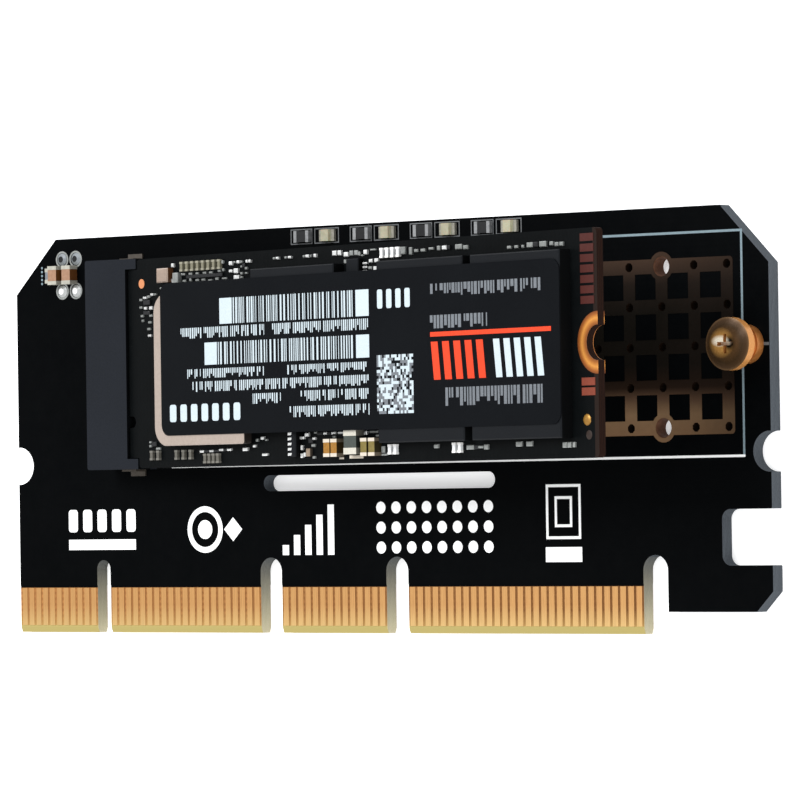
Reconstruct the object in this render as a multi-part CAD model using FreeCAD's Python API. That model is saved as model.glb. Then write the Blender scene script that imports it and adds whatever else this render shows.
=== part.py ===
import FreeCAD, Part
import math
import os
from FreeCAD import Vector

# A sixteen-lane expansion card that carries one small solid-state drive.
# The card lies on its back: +X runs along the edge contacts, +Y from the contacts to the
# top edge, +Z out of the component side. The origin is under the middle of the card.
# Local card places are counted from the left edge (x) and from the tip of the tongue (y).

# --- drive, driving sizes -------------------------------------------------------------
drive_length = 80.0
drive_width = 22.0
drive_board_thickness = 0.8
drive_lift_angle = 13.0          # it is plugged in but not screwed down
drive_edge_step = 1.075          # the part that enters the socket is narrower by this, each side
drive_edge_length = 4.0
drive_corner_radius = 0.5
drive_key_offset = 6.125         # key notch from the drive's centre line
drive_key_width = 1.2
drive_key_depth = 3.5
drive_contact_pitch = 0.5
drive_contact_width = 0.35
drive_contact_start = 0.2
drive_contact_length = 1.85
drive_contact_margin = 0.675     # outer contact's centre to the side of the narrowed part
drive_contact_gap = 4            # places lost to the key notch
screw_notch_radius = 1.7
screw_ring_width = 1.3
plating = 0.05                   # thickness of every plated or exposed copper layer

# --- card outline -----------------------------------------------------------------------
board_thickness = 1.6
socket_low_y = 17.3              # lower end of the socket above the tongue's tip
socket_stop_x = 17.4             # where the drive's edge stops
standoff_edge = 2.6              # standoff centre to the card's right edge
top_strip = 2.7                  # strip above the socket that carries the indicator lights
corner_cut = 5.8
lower_corner_cut = 2.0
body_bottom = 2.2                # lower edge of the card beyond the last slot
tongue_bevel_height = 0.7
tongue_bevel_inset = 0.25
finger_top = 4.75                # upper end of the edge contacts
finger_bottom = 0.75
finger_mask_gap = 0.25           # bare strip between the contacts and the mask
contact_pitch = 1.0
contact_width = 0.7
first_contact = 0.65
contact_groups = (11, 21, 14)    # a last group takes the room that is left
group_steps = (3, 4, 4)          # pitches from the last contact of a group to the next group
last_group_margin = 16.0         # least room from the last contact to the card's right edge
notch_margin = 0.55              # contact centre to the side of a notch
key_notch_top = 7.7
slot_top = 7.85
end_slot_width = 3.05
edge_notch_y = 17.9
edge_notch_radius = 2.0
edge_notch_inset = 0.15
latch_notch_depth = 6.05
latch_notch_bottom = 6.75
latch_notch_height = 5.55
latch_notch_corner = 1.0
long_slot_start = 34.8
long_slot_length = 30.8
long_slot_width = 1.65
long_slot_y = 15.6

# --- cooling mesh -------------------------------------------------------------------------
mesh_pitch = 4.0
mesh_columns = 6
mesh_rows = 5
mesh_strip = 1.45
mesh_to_standoff = 2.4
mesh_corner = 0.4
mesh_standoff_gap = 0.15
via_radius = 0.48
via_sides = 8                    # so small that eight flats read as round
fixing_hole_radius = 1.0
fixing_ring_radius = 1.45
fixing_hole_column = 2           # counted from the right
fixing_ring_sides = 20

# --- socket ---------------------------------------------------------------------------------
socket_height = 4.2
socket_rear = 3.6                # housing behind the drive's edge
socket_roof = 2.1                # roof in front of the drive's edge
socket_floor = 4.6               # floor in front of the drive's edge
seat_height = 2.45               # under side of a lowered drive above the card
socket_play = 0.1
socket_roof_thickness = 0.3
socket_end_gap = 0.08            # each side of the drive's edge
socket_trough_front = 0.6        # front wall of the contact trough
socket_trough_rear = 0.25        # trough starts this far in front of the drive's edge
socket_trough_floor = 0.3
socket_chamfer = 0.25
spring_lead = 0.1                # springs leave the housing this far behind it
spring_thickness = 0.14
spring_width = 0.22
spring_channel = 0.36
tail_reach = 0.9                 # solder tails beyond the housing
peg_radius = 0.55
peg_length = 1.2
peg_play = 0.05
peg_inset = 1.6
peg_sides = 12
hold_down_length = 2.0
hold_down_foot = 0.7
hold_down_rise = 1.6
hold_down_thickness = 0.2

# --- standoff and screw -----------------------------------------------------------------------
standoff_radius = 1.75
standoff_collar_radius = 1.92
standoff_collar_height = 1.05
shank_radius = 1.6
thread_radius = 1.0
thread_clearance = 0.02
screw_head_radius = 2.6
screw_rim_height = 0.95
screw_dome_height = 0.45
screw_recess_radius = 0.95
screw_recess_width = 0.36
screw_recess_depth = 0.7
screw_length = 3.2

# --- small parts on the card ------------------------------------------------------------------
light_count = 4
light_pitch = 8.0
light_from_top = 1.05
resistor_x = 40.75
light_after_resistor = 3.35
chip_length = 2.0
chip_width = 1.2
chip_end = 0.4
end_step = 0.03                  # metal ends stand proud of the body between them
resistor_height = 0.5
light_base_height = 0.35
light_lens_height = 0.35
light_lens_crown = 0.8           # flat top over the lens's length
filter_x = (6.25, 8.25)
filter_from_top = 3.9
filter_length = 2.0
filter_width = 1.25
filter_height = 1.2
bead_x = 5.1
bead_width = 0.8
bead_length = 1.6
bead_height = 0.6
pad_radius = 0.68
pad_height = 0.22
pad_sides = 12
pad_crown = 0.5                  # flat crown over the pad's radius
pad_spread = 1.72                # pad centre from the capacitor's middle, across the card
pad_shift = 0.45                 # and along it

# --- parts on the drive: along it from the contact edge, across it from its centre line -------
package_height = 1.4
package_edge = 0.12
controller_start = 8.8
controller_length = 15.7
controller_base = 0.35
controller_corner = 2.0          # towards the drive's contacts
controller_inner_corner = 0.3
controller_margins = (2.25, 3.85)    # to the drive's lower and upper long edge
cache_gap = 1.5                  # after the controller
cache_length = 14.1
cache_margins = (5.1, 1.9)
power_gap = 7.1                  # strip of voltage parts between the cache and memory chips
memory_gap = 1.2
memory_from_end = 4.0
memory_margins = (1.95, 1.95)
label_start = 10.25
label_from_end = 3.9
label_margins = (3.3, 2.8)
label_corner = 1.2
label_thickness = 0.1
crystal_size = (2.0, 1.5, 0.8)
crystal_after = 0.8              # beyond the controller's start
crystal_margin = 1.9
regulator_size = (1.2, 2.6, 0.8)
regulator_before = 8.1           # before the cache chip's end
regulator_margin = 2.1
regulator_pin_count = 5
regulator_pin_pitch = 0.52
regulator_pin = (0.86, 0.28, 0.2)
inductor_size = (2.1, 2.5, 1.2)
inductor_after = 2.15            # beyond the cache chip's end
inductor_margin = 2.15
inductor_end = 0.65
power_capacitor = (1.05, 1.8, 0.95)
power_capacitor_end = 0.35
power_row_margin = 1.6
input_capacitors_before = (2.1, 0.9)
output_capacitors_after = (4.05, 5.35)
small_part = (0.5, 1.0, 0.35)
small_part_end = 0.22
small_row_margin = 1.1           # rows along the upper edge
low_row_margin = 1.3
edge_row_margin = 0.85           # the row that stands nearest to the lower edge
small_step = 0.88
small_row_counts = (8, 4, 2, 3, 4, 2, 2)
test_pad_size = (2.0, 0.75)
test_pad_from_end = 1.45
test_pad_top_margin = 0.9        # last upper pad's centre to the drive's upper edge
test_pad_first = 1.1             # edge of the gold ring to the first pad's centre, above it
test_pad_low_first = 0.7         # and below it
test_pad_low_step = 0.95
test_pad_count = 7
test_pad_low_count = 2
dot_radius = 0.5
dot_along = 4.9
dot_margin = 2.6
over = 1.0                       # cutters pass the faces by this much

# --- places that follow from the sizes above --------------------------------------------------
socket_width = drive_width + 2 * socket_play
drive_axis_y = socket_low_y + socket_width / 2
standoff_x = socket_stop_x + drive_length
board_length = standoff_x + standoff_edge
board_height = socket_low_y + socket_width + top_strip
filter_y = board_height - filter_from_top
light_x = resistor_x + light_after_resistor
below = -over
above = board_thickness + over
mesh_right = standoff_x - mesh_to_standoff
mesh_left = mesh_right - mesh_pitch * (mesh_columns - 1)
mesh_bottom = drive_axis_y - mesh_pitch * (mesh_rows - 1) / 2
mesh_top = mesh_bottom + mesh_pitch * (mesh_rows - 1)
package_top = drive_board_thickness + package_height
drive_edge_width = drive_width - 2 * drive_edge_step
drive_contact_room = drive_edge_width - 2 * drive_contact_margin
upper_edge = drive_width / 2
lower_edge = -drive_width / 2
cache_start = controller_start + controller_length + cache_gap
cache_end = cache_start + cache_length
memory_start = cache_end + power_gap
memory_length = (drive_length - memory_from_end - memory_gap - memory_start) / 2
ring_outer = screw_notch_radius + screw_ring_width
top_row = upper_edge - small_row_margin
low_row = lower_edge + low_row_margin
edge_row = lower_edge + edge_row_margin
small_rows = (
    # first along, across, step along
    (controller_start + 3.65, top_row, 0.95),
    (memory_start - 0.5, top_row, small_step),
    (controller_start - 2.15, low_row, 1.14),
    (controller_start + 2.3, low_row, 1.25),
    (controller_start + 7.4, edge_row, 0.75),
    (memory_start + 0.4, low_row, small_step),
    (memory_start + 10.75, low_row, small_step),
)


# --- helpers ----------------------------------------------------------------------------------

def at(x, y, z=0.0):
    """Card place to the part's frame; z counts from the card's back face."""
    return Vector(x - board_length / 2, y - board_height / 2, z)


def box(x0, x1, y0, y1, z0, z1):
    return Part.makeBox(x1 - x0, y1 - y0, z1 - z0, at(x0, y0, z0))


def rod(x, y, z0, z1, radius):
    return Part.makeCylinder(radius, z1 - z0, at(x, y, z0))


def slot_cutter(x0, x1, y0, y1, z0, z1):
    """A slot with round ends, along its longer side."""
    radius = min(x1 - x0, y1 - y0) / 2
    if x1 - x0 > y1 - y0:
        middle = (y0 + y1) / 2
        ends = [(x0 + radius, middle), (x1 - radius, middle)]
        core = box(x0 + radius, x1 - radius, y0, y1, z0, z1)
    else:
        middle = (x0 + x1) / 2
        ends = [(middle, y0 + radius), (middle, y1 - radius)]
        core = box(x0, x1, y0 + radius, y1 - radius, z0, z1)
    return core.fuse([rod(x, y, z0, z1, radius) for x, y in ends]).removeSplitter()


def extrude(points, direction):
    return Part.Face(Part.makePolygon(points + [points[0]])).extrude(direction)


def flat_sided(x, y, z0, z1, radius, sides, top_radius=None):
    """A small round drawn with a few flats, so that many of them stay light."""
    rings = []
    for z, r in ((z0, radius), (z1, radius if top_radius is None else top_radius)):
        turn = [2 * math.pi * (i + 0.5) / sides for i in range(sides)]
        points = [at(x, y, z) + Vector(r * math.cos(a), r * math.sin(a), 0) for a in turn]
        rings.append(Part.makePolygon(points + [points[0]]))
    return Part.makeLoft(rings, True, True)


def turned(profile, x, y):
    """Revolve a list of (radius, height) points about the upright axis at a card place."""
    points = [at(x, y) + Vector(r, 0, z) for r, z in profile]
    face = Part.Face(Part.makePolygon(points + [points[0]]))
    return face.revolve(at(x, y), Vector(0, 0, 1), 360)


def upright_edges(shape):
    found = []
    for edge in shape.Edges:
        low, high = edge.BoundBox.ZMin, edge.BoundBox.ZMax
        if high - low > 1e-6 and edge.BoundBox.XLength < 1e-6 and edge.BoundBox.YLength < 1e-6:
            found.append(edge)
    return found


def top_edges(shape):
    top = shape.BoundBox.ZMax
    return [e for e in shape.Edges if e.BoundBox.ZMin > top - 1e-6]


def write(name, solids):
    shape = solids[0] if len(solids) == 1 else Part.makeCompound(solids)
    shape.exportStep("parts/" + name + ".step")


# --- places of the edge contacts --------------------------------------------------------------

def contact_rows():
    """Centre of every edge contact, one list for each group."""
    rows = []
    x = first_contact
    for index, count in enumerate(contact_groups):
        rows.append([x + contact_pitch * i for i in range(count)])
        x = rows[-1][-1] + contact_pitch * group_steps[index]
    last = int((board_length - last_group_margin - x) / contact_pitch) + 1
    rows.append([x + contact_pitch * i for i in range(last)])
    return rows


def tongue_end():
    return contact_rows()[-1][-1] + notch_margin


# --- card -------------------------------------------------------------------------------------

def board_blank():
    end = tongue_end() + end_slot_width
    points = [
        at(0, 0),
        at(tongue_end(), 0),
        at(tongue_end(), body_bottom),
        at(board_length - lower_corner_cut, body_bottom),
        at(board_length, body_bottom + lower_corner_cut),
        at(board_length, board_height - corner_cut),
        at(board_length - corner_cut, board_height),
        at(corner_cut, board_height),
        at(0, board_height - corner_cut),
    ]
    blank = extrude(points, Vector(0, 0, board_thickness))
    return blank.cut(slot_cutter(tongue_end(), end, -slot_top, slot_top, below, above))


def tongue_cutters():
    """Key notch, the two slots between groups, and the bevel of the tip."""
    rows = contact_rows()
    cutters = []
    for index in range(len(rows) - 1):
        left = rows[index][-1] + notch_margin
        right = rows[index + 1][0] - notch_margin
        top = key_notch_top if index == 0 else slot_top
        cutters.append(slot_cutter(left, right, -top, top, below, above))
    for z, side in ((0, 1), (board_thickness, -1)):
        wedge = [at(below, -1e-3, z), at(below, tongue_bevel_height, z),
                 at(below, -1e-3, z + side * tongue_bevel_inset)]
        cutters.append(extrude(wedge, Vector(tongue_end() + 1.5 * over, 0, 0)))
    return cutters


def finger_recess():
    """The tongue carries no mask, so its faces lie one plating thickness deeper."""
    top = finger_top + finger_mask_gap
    front = box(below, tongue_end() + 0.01, below, top, board_thickness - plating, above)
    back = box(below, tongue_end() + 0.01, below, top, below, plating)
    return [front, back]


def edge_cutters():
    left = rod(edge_notch_inset, edge_notch_y, below, above, edge_notch_radius)
    right = rod(board_length - edge_notch_inset, edge_notch_y, below, above, edge_notch_radius)
    latch = box(board_length - latch_notch_depth, board_length + over, latch_notch_bottom,
                latch_notch_bottom + latch_notch_height, below, above)
    inner = [e for e in upright_edges(latch)
             if e.BoundBox.XMin < board_length / 2 - latch_notch_depth + 0.01]
    latch = latch.makeFillet(latch_notch_corner, inner)
    half = long_slot_width / 2
    long_slot = slot_cutter(long_slot_start, long_slot_start + long_slot_length,
                            long_slot_y - half, long_slot_y + half, below, above)
    return [left, right, latch, long_slot]


def mesh_places():
    return [(mesh_left + mesh_pitch * i, mesh_bottom + mesh_pitch * j)
            for i in range(mesh_columns) for j in range(mesh_rows)]


def fixing_hole_places():
    x = mesh_right - mesh_pitch * fixing_hole_column
    return [(x, mesh_bottom), (x, mesh_top)]


def plain_via_places():
    """Every crossing of the mesh but those that hold a fixing hole."""
    taken = fixing_hole_places()
    return [p for p in mesh_places()
            if all(math.hypot(p[0] - q[0], p[1] - q[1]) > fixing_ring_radius for q in taken)]


def peg_places():
    reach = socket_width / 2 - peg_inset
    x = socket_stop_x - socket_rear / 2
    return [(x, drive_axis_y - reach), (x, drive_axis_y + reach)]


def hole_cutters():
    cutters = [flat_sided(x, y, below, above, via_radius, via_sides) for x, y in plain_via_places()]
    cutters += [rod(x, y, below, above, fixing_hole_radius) for x, y in fixing_hole_places()]
    cutters += [flat_sided(x, y, below, above, peg_radius + peg_play, peg_sides)
                for x, y in peg_places()]
    cutters.append(rod(standoff_x, drive_axis_y, below, above, shank_radius))
    return cutters


def adapter_board():
    blank = board_blank()
    return blank.cut(tongue_cutters() + finger_recess() + edge_cutters() + hole_cutters())


def edge_contacts(z):
    half = contact_width / 2
    return [box(x - half, x + half, finger_bottom, finger_top, z, z + plating)
            for row in contact_rows() for x in row]


def cooling_mesh():
    half = mesh_strip / 2
    low, high = board_thickness, board_thickness + plating
    sheet = box(mesh_left - half, mesh_right + half, mesh_bottom - half, mesh_top + half, low, high)
    sheet = sheet.makeFillet(mesh_corner, upright_edges(sheet))
    cutters = []
    for i in range(mesh_columns - 1):
        for j in range(mesh_rows - 1):
            x = mesh_left + mesh_pitch * i
            y = mesh_bottom + mesh_pitch * j
            cutters.append(box(x + half, x + mesh_pitch - half, y + half, y + mesh_pitch - half,
                               below, above))
    cutters += [flat_sided(x, y, below, above, via_radius, via_sides)
                for x, y in plain_via_places()]
    cutters += [flat_sided(x, y, below, above, fixing_ring_radius, fixing_ring_sides)
                for x, y in fixing_hole_places()]
    cutters.append(rod(standoff_x, drive_axis_y, below, above,
                       standoff_collar_radius + mesh_standoff_gap))
    return sheet.cut(cutters)


def fixing_hole_ring(x, y):
    low, high = board_thickness, board_thickness + plating
    ring = flat_sided(x, y, low, high, fixing_ring_radius, fixing_ring_sides)
    return ring.cut(flat_sided(x, y, below, above, fixing_hole_radius, fixing_ring_sides))


# --- socket -----------------------------------------------------------------------------------

def socket_housing():
    base = board_thickness
    rear = socket_stop_x - socket_rear
    angle = math.radians(drive_lift_angle)
    lean = drive_board_thickness * math.sin(angle)
    stop = socket_stop_x - lean - socket_play
    ear = drive_edge_length * math.cos(angle) - lean - socket_play
    low = drive_axis_y - socket_width / 2
    high = drive_axis_y + socket_width / 2
    half_mouth = drive_edge_width / 2 + socket_end_gap
    top = base + socket_height
    roof_under = top - socket_roof_thickness
    body = box(rear, socket_stop_x + socket_roof, low, high, base, top)
    floor = box(rear, socket_stop_x + socket_floor, low, high, base,
                base + seat_height - socket_play)
    ears = [box(rear, socket_stop_x + ear, low, drive_axis_y - half_mouth, base, top),
            box(rear, socket_stop_x + ear, drive_axis_y + half_mouth, high, base, top)]
    body = body.fuse([floor] + ears).removeSplitter()
    outer = [e for e in upright_edges(body) if e.BoundBox.XMin < at(rear, 0).x + 0.01]
    body = body.makeFillet(socket_chamfer, outer)
    mouth_low = drive_axis_y - half_mouth
    mouth_high = drive_axis_y + half_mouth
    mouth = box(stop, socket_stop_x + socket_roof + over, mouth_low, mouth_high,
                base + seat_height - socket_play, roof_under)
    trough = box(socket_stop_x + socket_trough_rear,
                 socket_stop_x + socket_floor - socket_trough_front, mouth_low, mouth_high,
                 base + socket_trough_floor, roof_under)
    channel = box(rear - over, stop + 0.01, mouth_low, mouth_high,
                  roof_under - spring_channel, roof_under)
    tail_gate = box(socket_stop_x + socket_trough_rear, socket_stop_x + socket_floor + over,
                    mouth_low, mouth_high, base - over, base + socket_trough_floor + 0.01)
    body = body.cut([mouth, trough, channel, tail_gate])
    rib_y = drive_axis_y - drive_key_offset
    rib_half = drive_key_width / 2 - socket_play
    rib = box(stop, socket_stop_x + socket_roof, rib_y - rib_half, rib_y + rib_half,
              base + seat_height - socket_play, roof_under)
    bridge = box(rear + socket_chamfer, stop, rib_y - rib_half, rib_y + rib_half,
                 roof_under - spring_channel, roof_under)
    pegs = [flat_sided(x, y, base - peg_length, base, peg_radius, peg_sides)
            for x, y in peg_places()]
    return body.fuse([rib, bridge] + pegs).removeSplitter()


def contact_across(side):
    """Places across the drive of one side's contacts, key places left out."""
    places = []
    steps = int(drive_contact_room / drive_contact_pitch + 1e-6)
    start = drive_contact_pitch * steps / 2
    for i in range(steps + (1 if side > 0 else 0)):
        place = start - drive_contact_pitch * i - (0 if side > 0 else drive_contact_pitch / 2)
        if abs(place + drive_key_offset) > drive_contact_pitch * drive_contact_gap / 2:
            places.append(place)
    return places


def spring(path, y):
    points = [at(x, y - spring_width / 2, z) for x, z in path]
    return extrude(points, Vector(0, spring_width, 0))


def drive_face(s, up):
    """Height over the card's back of a point on the lifted drive, and its x."""
    angle = math.radians(drive_lift_angle)
    x = socket_stop_x + s * math.cos(angle) - up * math.sin(angle)
    z = board_thickness + seat_height + s * math.sin(angle) + up * math.cos(angle)
    return x, z


def upper_springs():
    """Tail behind the housing, beam through its channel, bent tip on the drive's upper contacts."""
    t = spring_thickness
    base = board_thickness
    rear = socket_stop_x - socket_rear
    beam = base + socket_height - socket_roof_thickness - spring_channel / 2
    touch_x, touch_z = drive_face(drive_contact_start + drive_contact_length / 2,
                                  drive_board_thickness + plating)
    bend = rear - spring_lead
    path = [
        (rear - tail_reach, base), (bend - t, base + t), (bend - t, beam + t / 2),
        (touch_x, touch_z + 0.2 * t), (bend, beam - t / 2), (bend, base),
    ]
    return [spring(path, drive_axis_y + w) for w in contact_across(1)]


def lower_springs():
    """Tail in front of the housing, beam in the trough, arm up to the drive's lower contacts."""
    t = spring_thickness
    base = board_thickness
    front = socket_stop_x + socket_floor
    touch_x, touch_z = drive_face(drive_contact_start + drive_contact_length / 2, -plating)
    heel = touch_x + t
    path = [
        (front + tail_reach, base), (front + tail_reach, base + t), (heel + 2 * t, base + t),
        (touch_x, touch_z - 0.2 * t), (heel - t, base),
    ]
    return [spring(path, drive_axis_y + w) for w in contact_across(-1)]


def hold_down_tab(side):
    """An L of sheet metal: foot on the card, leg against the socket's end wall."""
    t = hold_down_thickness
    wall = drive_axis_y + side * socket_width / 2
    x0 = socket_stop_x - hold_down_length / 2
    points = [(0, 0), (hold_down_foot, 0), (hold_down_foot, t), (t, t), (t, hold_down_rise),
              (0, hold_down_rise)]
    outline = [at(x0, wall + side * y, board_thickness + z) for y, z in points]
    return extrude(outline, Vector(hold_down_length, 0, 0))


# --- standoff and screw -----------------------------------------------------------------------

def standoff():
    base = board_thickness
    seat = base + seat_height
    profile = [
        (thread_radius + thread_clearance, 0), (shank_radius, 0), (shank_radius, base),
        (standoff_collar_radius, base), (standoff_collar_radius, base + standoff_collar_height),
        (standoff_radius, base + standoff_collar_height), (standoff_radius, seat),
        (thread_radius + thread_clearance, seat),
    ]
    return turned(profile, standoff_x, drive_axis_y)


def module_screw():
    under = board_thickness + seat_height
    rim = under + screw_rim_height
    top = rim + screw_dome_height
    head = rod(standoff_x, drive_axis_y, under, rim, screw_head_radius)
    centre = at(standoff_x, drive_axis_y)
    rise = screw_dome_height
    ball_radius = (screw_head_radius ** 2 + rise ** 2) / (2 * rise)
    ball = Part.makeSphere(ball_radius, centre + Vector(0, 0, top - ball_radius))
    dome = ball.common(rod(standoff_x, drive_axis_y, rim, top + over, screw_head_radius))
    shank = rod(standoff_x, drive_axis_y, under - screw_length, under, thread_radius)
    reach, half = screw_recess_radius, screw_recess_width / 2
    floor = top - screw_recess_depth
    cross = [box(standoff_x - reach, standoff_x + reach, drive_axis_y - half, drive_axis_y + half,
                 floor, top + over),
             box(standoff_x - half, standoff_x + half, drive_axis_y - reach, drive_axis_y + reach,
                 floor, top + over)]
    return head.fuse([dome, shank]).removeSplitter().cut(cross)


# --- two-ended surface parts ------------------------------------------------------------------

def two_ended(x, y, z, length, width, height, end, along="x", shrink=end_step):
    """Body and metal ends of a part that stands on a face; length runs from end to end."""
    def block(a0, a1, half, top):
        if along == "x":
            return box(x + a0, x + a1, y - half, y + half, z, z + top)
        return box(x - half, x + half, y + a0, y + a1, z, z + top)
    half_length, half_width = length / 2, width / 2
    body = block(-half_length + end, half_length - end, half_width - shrink, height - shrink)
    ends = [block(-half_length, -half_length + end, half_width, height),
            block(half_length - end, half_length, half_width, height)]
    return body, ends


def light_row(x0, height, shrink):
    bodies, ends = [], []
    for i in range(light_count):
        body, pair = two_ended(x0 + light_pitch * i, board_height - light_from_top, board_thickness,
                               chip_length, chip_width, height, chip_end, "x", shrink)
        bodies.append(body)
        ends += pair
    return bodies, ends


def light_lenses():
    """A lens with sloping ends on the flat carrier of each light."""
    lenses = []
    y = board_height - light_from_top
    half = chip_length / 2 - chip_end
    crown = half * light_lens_crown
    z0, z1 = board_thickness, board_thickness + light_base_height + light_lens_height
    for i in range(light_count):
        x = light_x + light_pitch * i
        side = [at(x - half, y - chip_width / 2, z0), at(x + half, y - chip_width / 2, z0),
                at(x + half, y - chip_width / 2, z0 + light_base_height),
                at(x + crown, y - chip_width / 2, z1), at(x - crown, y - chip_width / 2, z1),
                at(x - half, y - chip_width / 2, z0 + light_base_height)]
        lenses.append(extrude(side, Vector(0, chip_width, 0)))
    return lenses


def filter_parts():
    bodies, ends = [], []
    for x in filter_x:
        body, pair = two_ended(x, filter_y, board_thickness, filter_length, filter_width,
                               filter_height, chip_end, "y")
        bodies.append(body)
        ends += pair
    return bodies, ends


def solder_pads():
    """Round pads with a low dome of solder, above and below the filter capacitors."""
    pads = []
    for x in filter_x:
        for side in (-1, 1):
            dome = flat_sided(x + pad_shift, filter_y + side * pad_spread, board_thickness,
                              board_thickness + pad_height, pad_radius, pad_sides,
                              pad_radius * pad_crown)
            clear = box(x - filter_width / 2, x + filter_width / 2, filter_y - filter_length / 2,
                        filter_y + filter_length / 2, board_thickness, above)
            pads.append(dome.cut(clear))
    return pads


# --- drive: modelled flat with its contact edge at the origin, then lifted into the socket ----

def flat_box(s0, s1, w0, w1, u0, u1):
    return Part.makeBox(s1 - s0, w1 - w0, u1 - u0, Vector(s0, w0, u0))


def flat_block(place, size, base=drive_board_thickness):
    """A block of (along, across, up) size centred on a place of the drive."""
    return flat_box(place[0] - size[0] / 2, place[0] + size[0] / 2, place[1] - size[1] / 2,
                    place[1] + size[1] / 2, base, base + size[2])


def lifted(shapes):
    """Tilt about the contact edge and set the edge in the socket."""
    placed = []
    for shape in shapes:
        copy = shape.copy()
        copy.rotate(Vector(0, 0, 0), Vector(0, 1, 0), -drive_lift_angle)
        copy.translate(at(socket_stop_x, drive_axis_y, board_thickness + seat_height))
        placed.append(copy)
    return placed


def drive_board():
    half, edge = drive_width / 2, drive_edge_width / 2
    blank = flat_box(drive_edge_length, drive_length, -half, half, 0, drive_board_thickness)
    blank = blank.makeFillet(drive_corner_radius, upright_edges(blank))
    tongue = flat_box(0, drive_edge_length + drive_corner_radius, -edge, edge, 0, drive_board_thickness)
    blank = blank.fuse(tongue).removeSplitter()
    key_radius = drive_key_width / 2
    key_end = drive_key_depth - key_radius
    key = flat_box(below, key_end, -drive_key_offset - key_radius, -drive_key_offset + key_radius,
                   below, drive_board_thickness + over)
    key_round = Part.makeCylinder(key_radius, drive_board_thickness + 2 * over,
                                  Vector(key_end, -drive_key_offset, below))
    notch = Part.makeCylinder(screw_notch_radius, drive_board_thickness + 2 * over,
                              Vector(drive_length, 0, below))
    return blank.cut([key, key_round, notch])


def drive_edge_contacts():
    half = drive_contact_width / 2
    s0, s1 = drive_contact_start, drive_contact_start + drive_contact_length
    contacts = [flat_box(s0, s1, w - half, w + half, drive_board_thickness,
                         drive_board_thickness + plating) for w in contact_across(1)]
    contacts += [flat_box(s0, s1, w - half, w + half, -plating, 0) for w in contact_across(-1)]
    return contacts


def drive_screw_ring():
    """Gold round the screw notch: a flat half ring on each face."""
    halves = []
    for base in (drive_board_thickness, -plating):
        profile = [(screw_notch_radius, base), (ring_outer, base), (ring_outer, base + plating),
                   (screw_notch_radius, base + plating)]
        points = [Vector(drive_length, r, z) for r, z in profile]
        face = Part.Face(Part.makePolygon(points + [points[0]]))
        halves.append(face.revolve(Vector(drive_length, 0, 0), Vector(0, 0, 1), 180))
    return halves


def soft_topped(shape, radius):
    return shape.makeChamfer(radius, top_edges(shape))


def across(margins):
    """Lower and upper side of a chip that keeps these margins to the drive's long edges."""
    return lower_edge + margins[0], upper_edge - margins[1]


def controller():
    low, high = across(controller_margins)
    end = controller_start + controller_length
    inset = package_edge
    cap_bottom = drive_board_thickness + controller_base
    base = flat_box(controller_start + inset, end - inset, low + inset, high - inset,
                    drive_board_thickness, cap_bottom)
    cap = flat_box(controller_start, end, low, high, cap_bottom, package_top)
    outer = [e for e in upright_edges(cap) if e.BoundBox.XMin < controller_start + package_edge]
    cap = cap.makeFillet(controller_corner, outer)
    inner = [e for e in upright_edges(cap) if e.BoundBox.XMin > end - package_edge]
    cap = cap.makeFillet(controller_inner_corner, inner)
    return base, soft_topped(cap, package_edge)


def package(start, length, margins):
    low, high = across(margins)
    body = flat_box(start, start + length, low, high, drive_board_thickness, package_top)
    return soft_topped(body, package_edge)


def drive_label():
    low, high = across(label_margins)
    sheet = flat_box(label_start, drive_length - label_from_end, low, high, package_top,
                     package_top + label_thickness)
    return sheet.makeFillet(label_corner, upright_edges(sheet))


def crystal():
    place = (controller_start + crystal_after, upper_edge - crystal_margin)
    return soft_topped(flat_block(place, crystal_size), package_edge)


def regulator():
    place = (cache_end - regulator_before, lower_edge + regulator_margin)
    body = soft_topped(flat_block(place, regulator_size), package_edge)
    pins = []
    first = place[1] - regulator_pin_pitch * (regulator_pin_count - 1) / 2
    along = place[0] - regulator_size[0] / 2 - regulator_pin[0] / 2
    for i in range(regulator_pin_count):
        pins.append(flat_block((along, first + regulator_pin_pitch * i), regulator_pin))
    return body, pins


def flat_two_ended(place, size, end):
    """Like two_ended, on the drive, with its ends across the drive."""
    width, length, height = size
    middle = (width - 2 * end_step, length - 2 * end, height - end_step)
    cap = (width, end, height)
    shift = (length - end) / 2
    body = flat_block(place, middle)
    ends = [flat_block((place[0], place[1] + side * shift), cap) for side in (-1, 1)]
    return body, ends


def power_parts(places):
    bodies, ends = [], []
    for along in places:
        body, pair = flat_two_ended((along, lower_edge + power_row_margin), power_capacitor,
                                    power_capacitor_end)
        bodies.append(body)
        ends += pair
    return bodies, ends


def small_parts():
    bodies, ends = [], []
    for (first, row, step), count in zip(small_rows, small_row_counts):
        for i in range(count):
            body, pair = flat_two_ended((first + step * i, row), small_part, small_part_end)
            bodies.append(body)
            ends += pair
    return bodies, ends


def test_pads():
    """One row above the screw notch and two more below it."""
    along = drive_length - test_pad_from_end
    first = ring_outer + test_pad_first
    step = (upper_edge - test_pad_top_margin - first) / (test_pad_count - 1)
    places = [first + step * i for i in range(test_pad_count)]
    places += [-ring_outer - test_pad_low_first - test_pad_low_step * i
               for i in range(test_pad_low_count)]
    return [flat_block((along, place), test_pad_size + (plating,)) for place in places]


def locating_dot():
    centre = Vector(dot_along, upper_edge - dot_margin, drive_board_thickness)
    return Part.makeCylinder(dot_radius, plating, centre)


# --- all nodes --------------------------------------------------------------------------------

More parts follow.
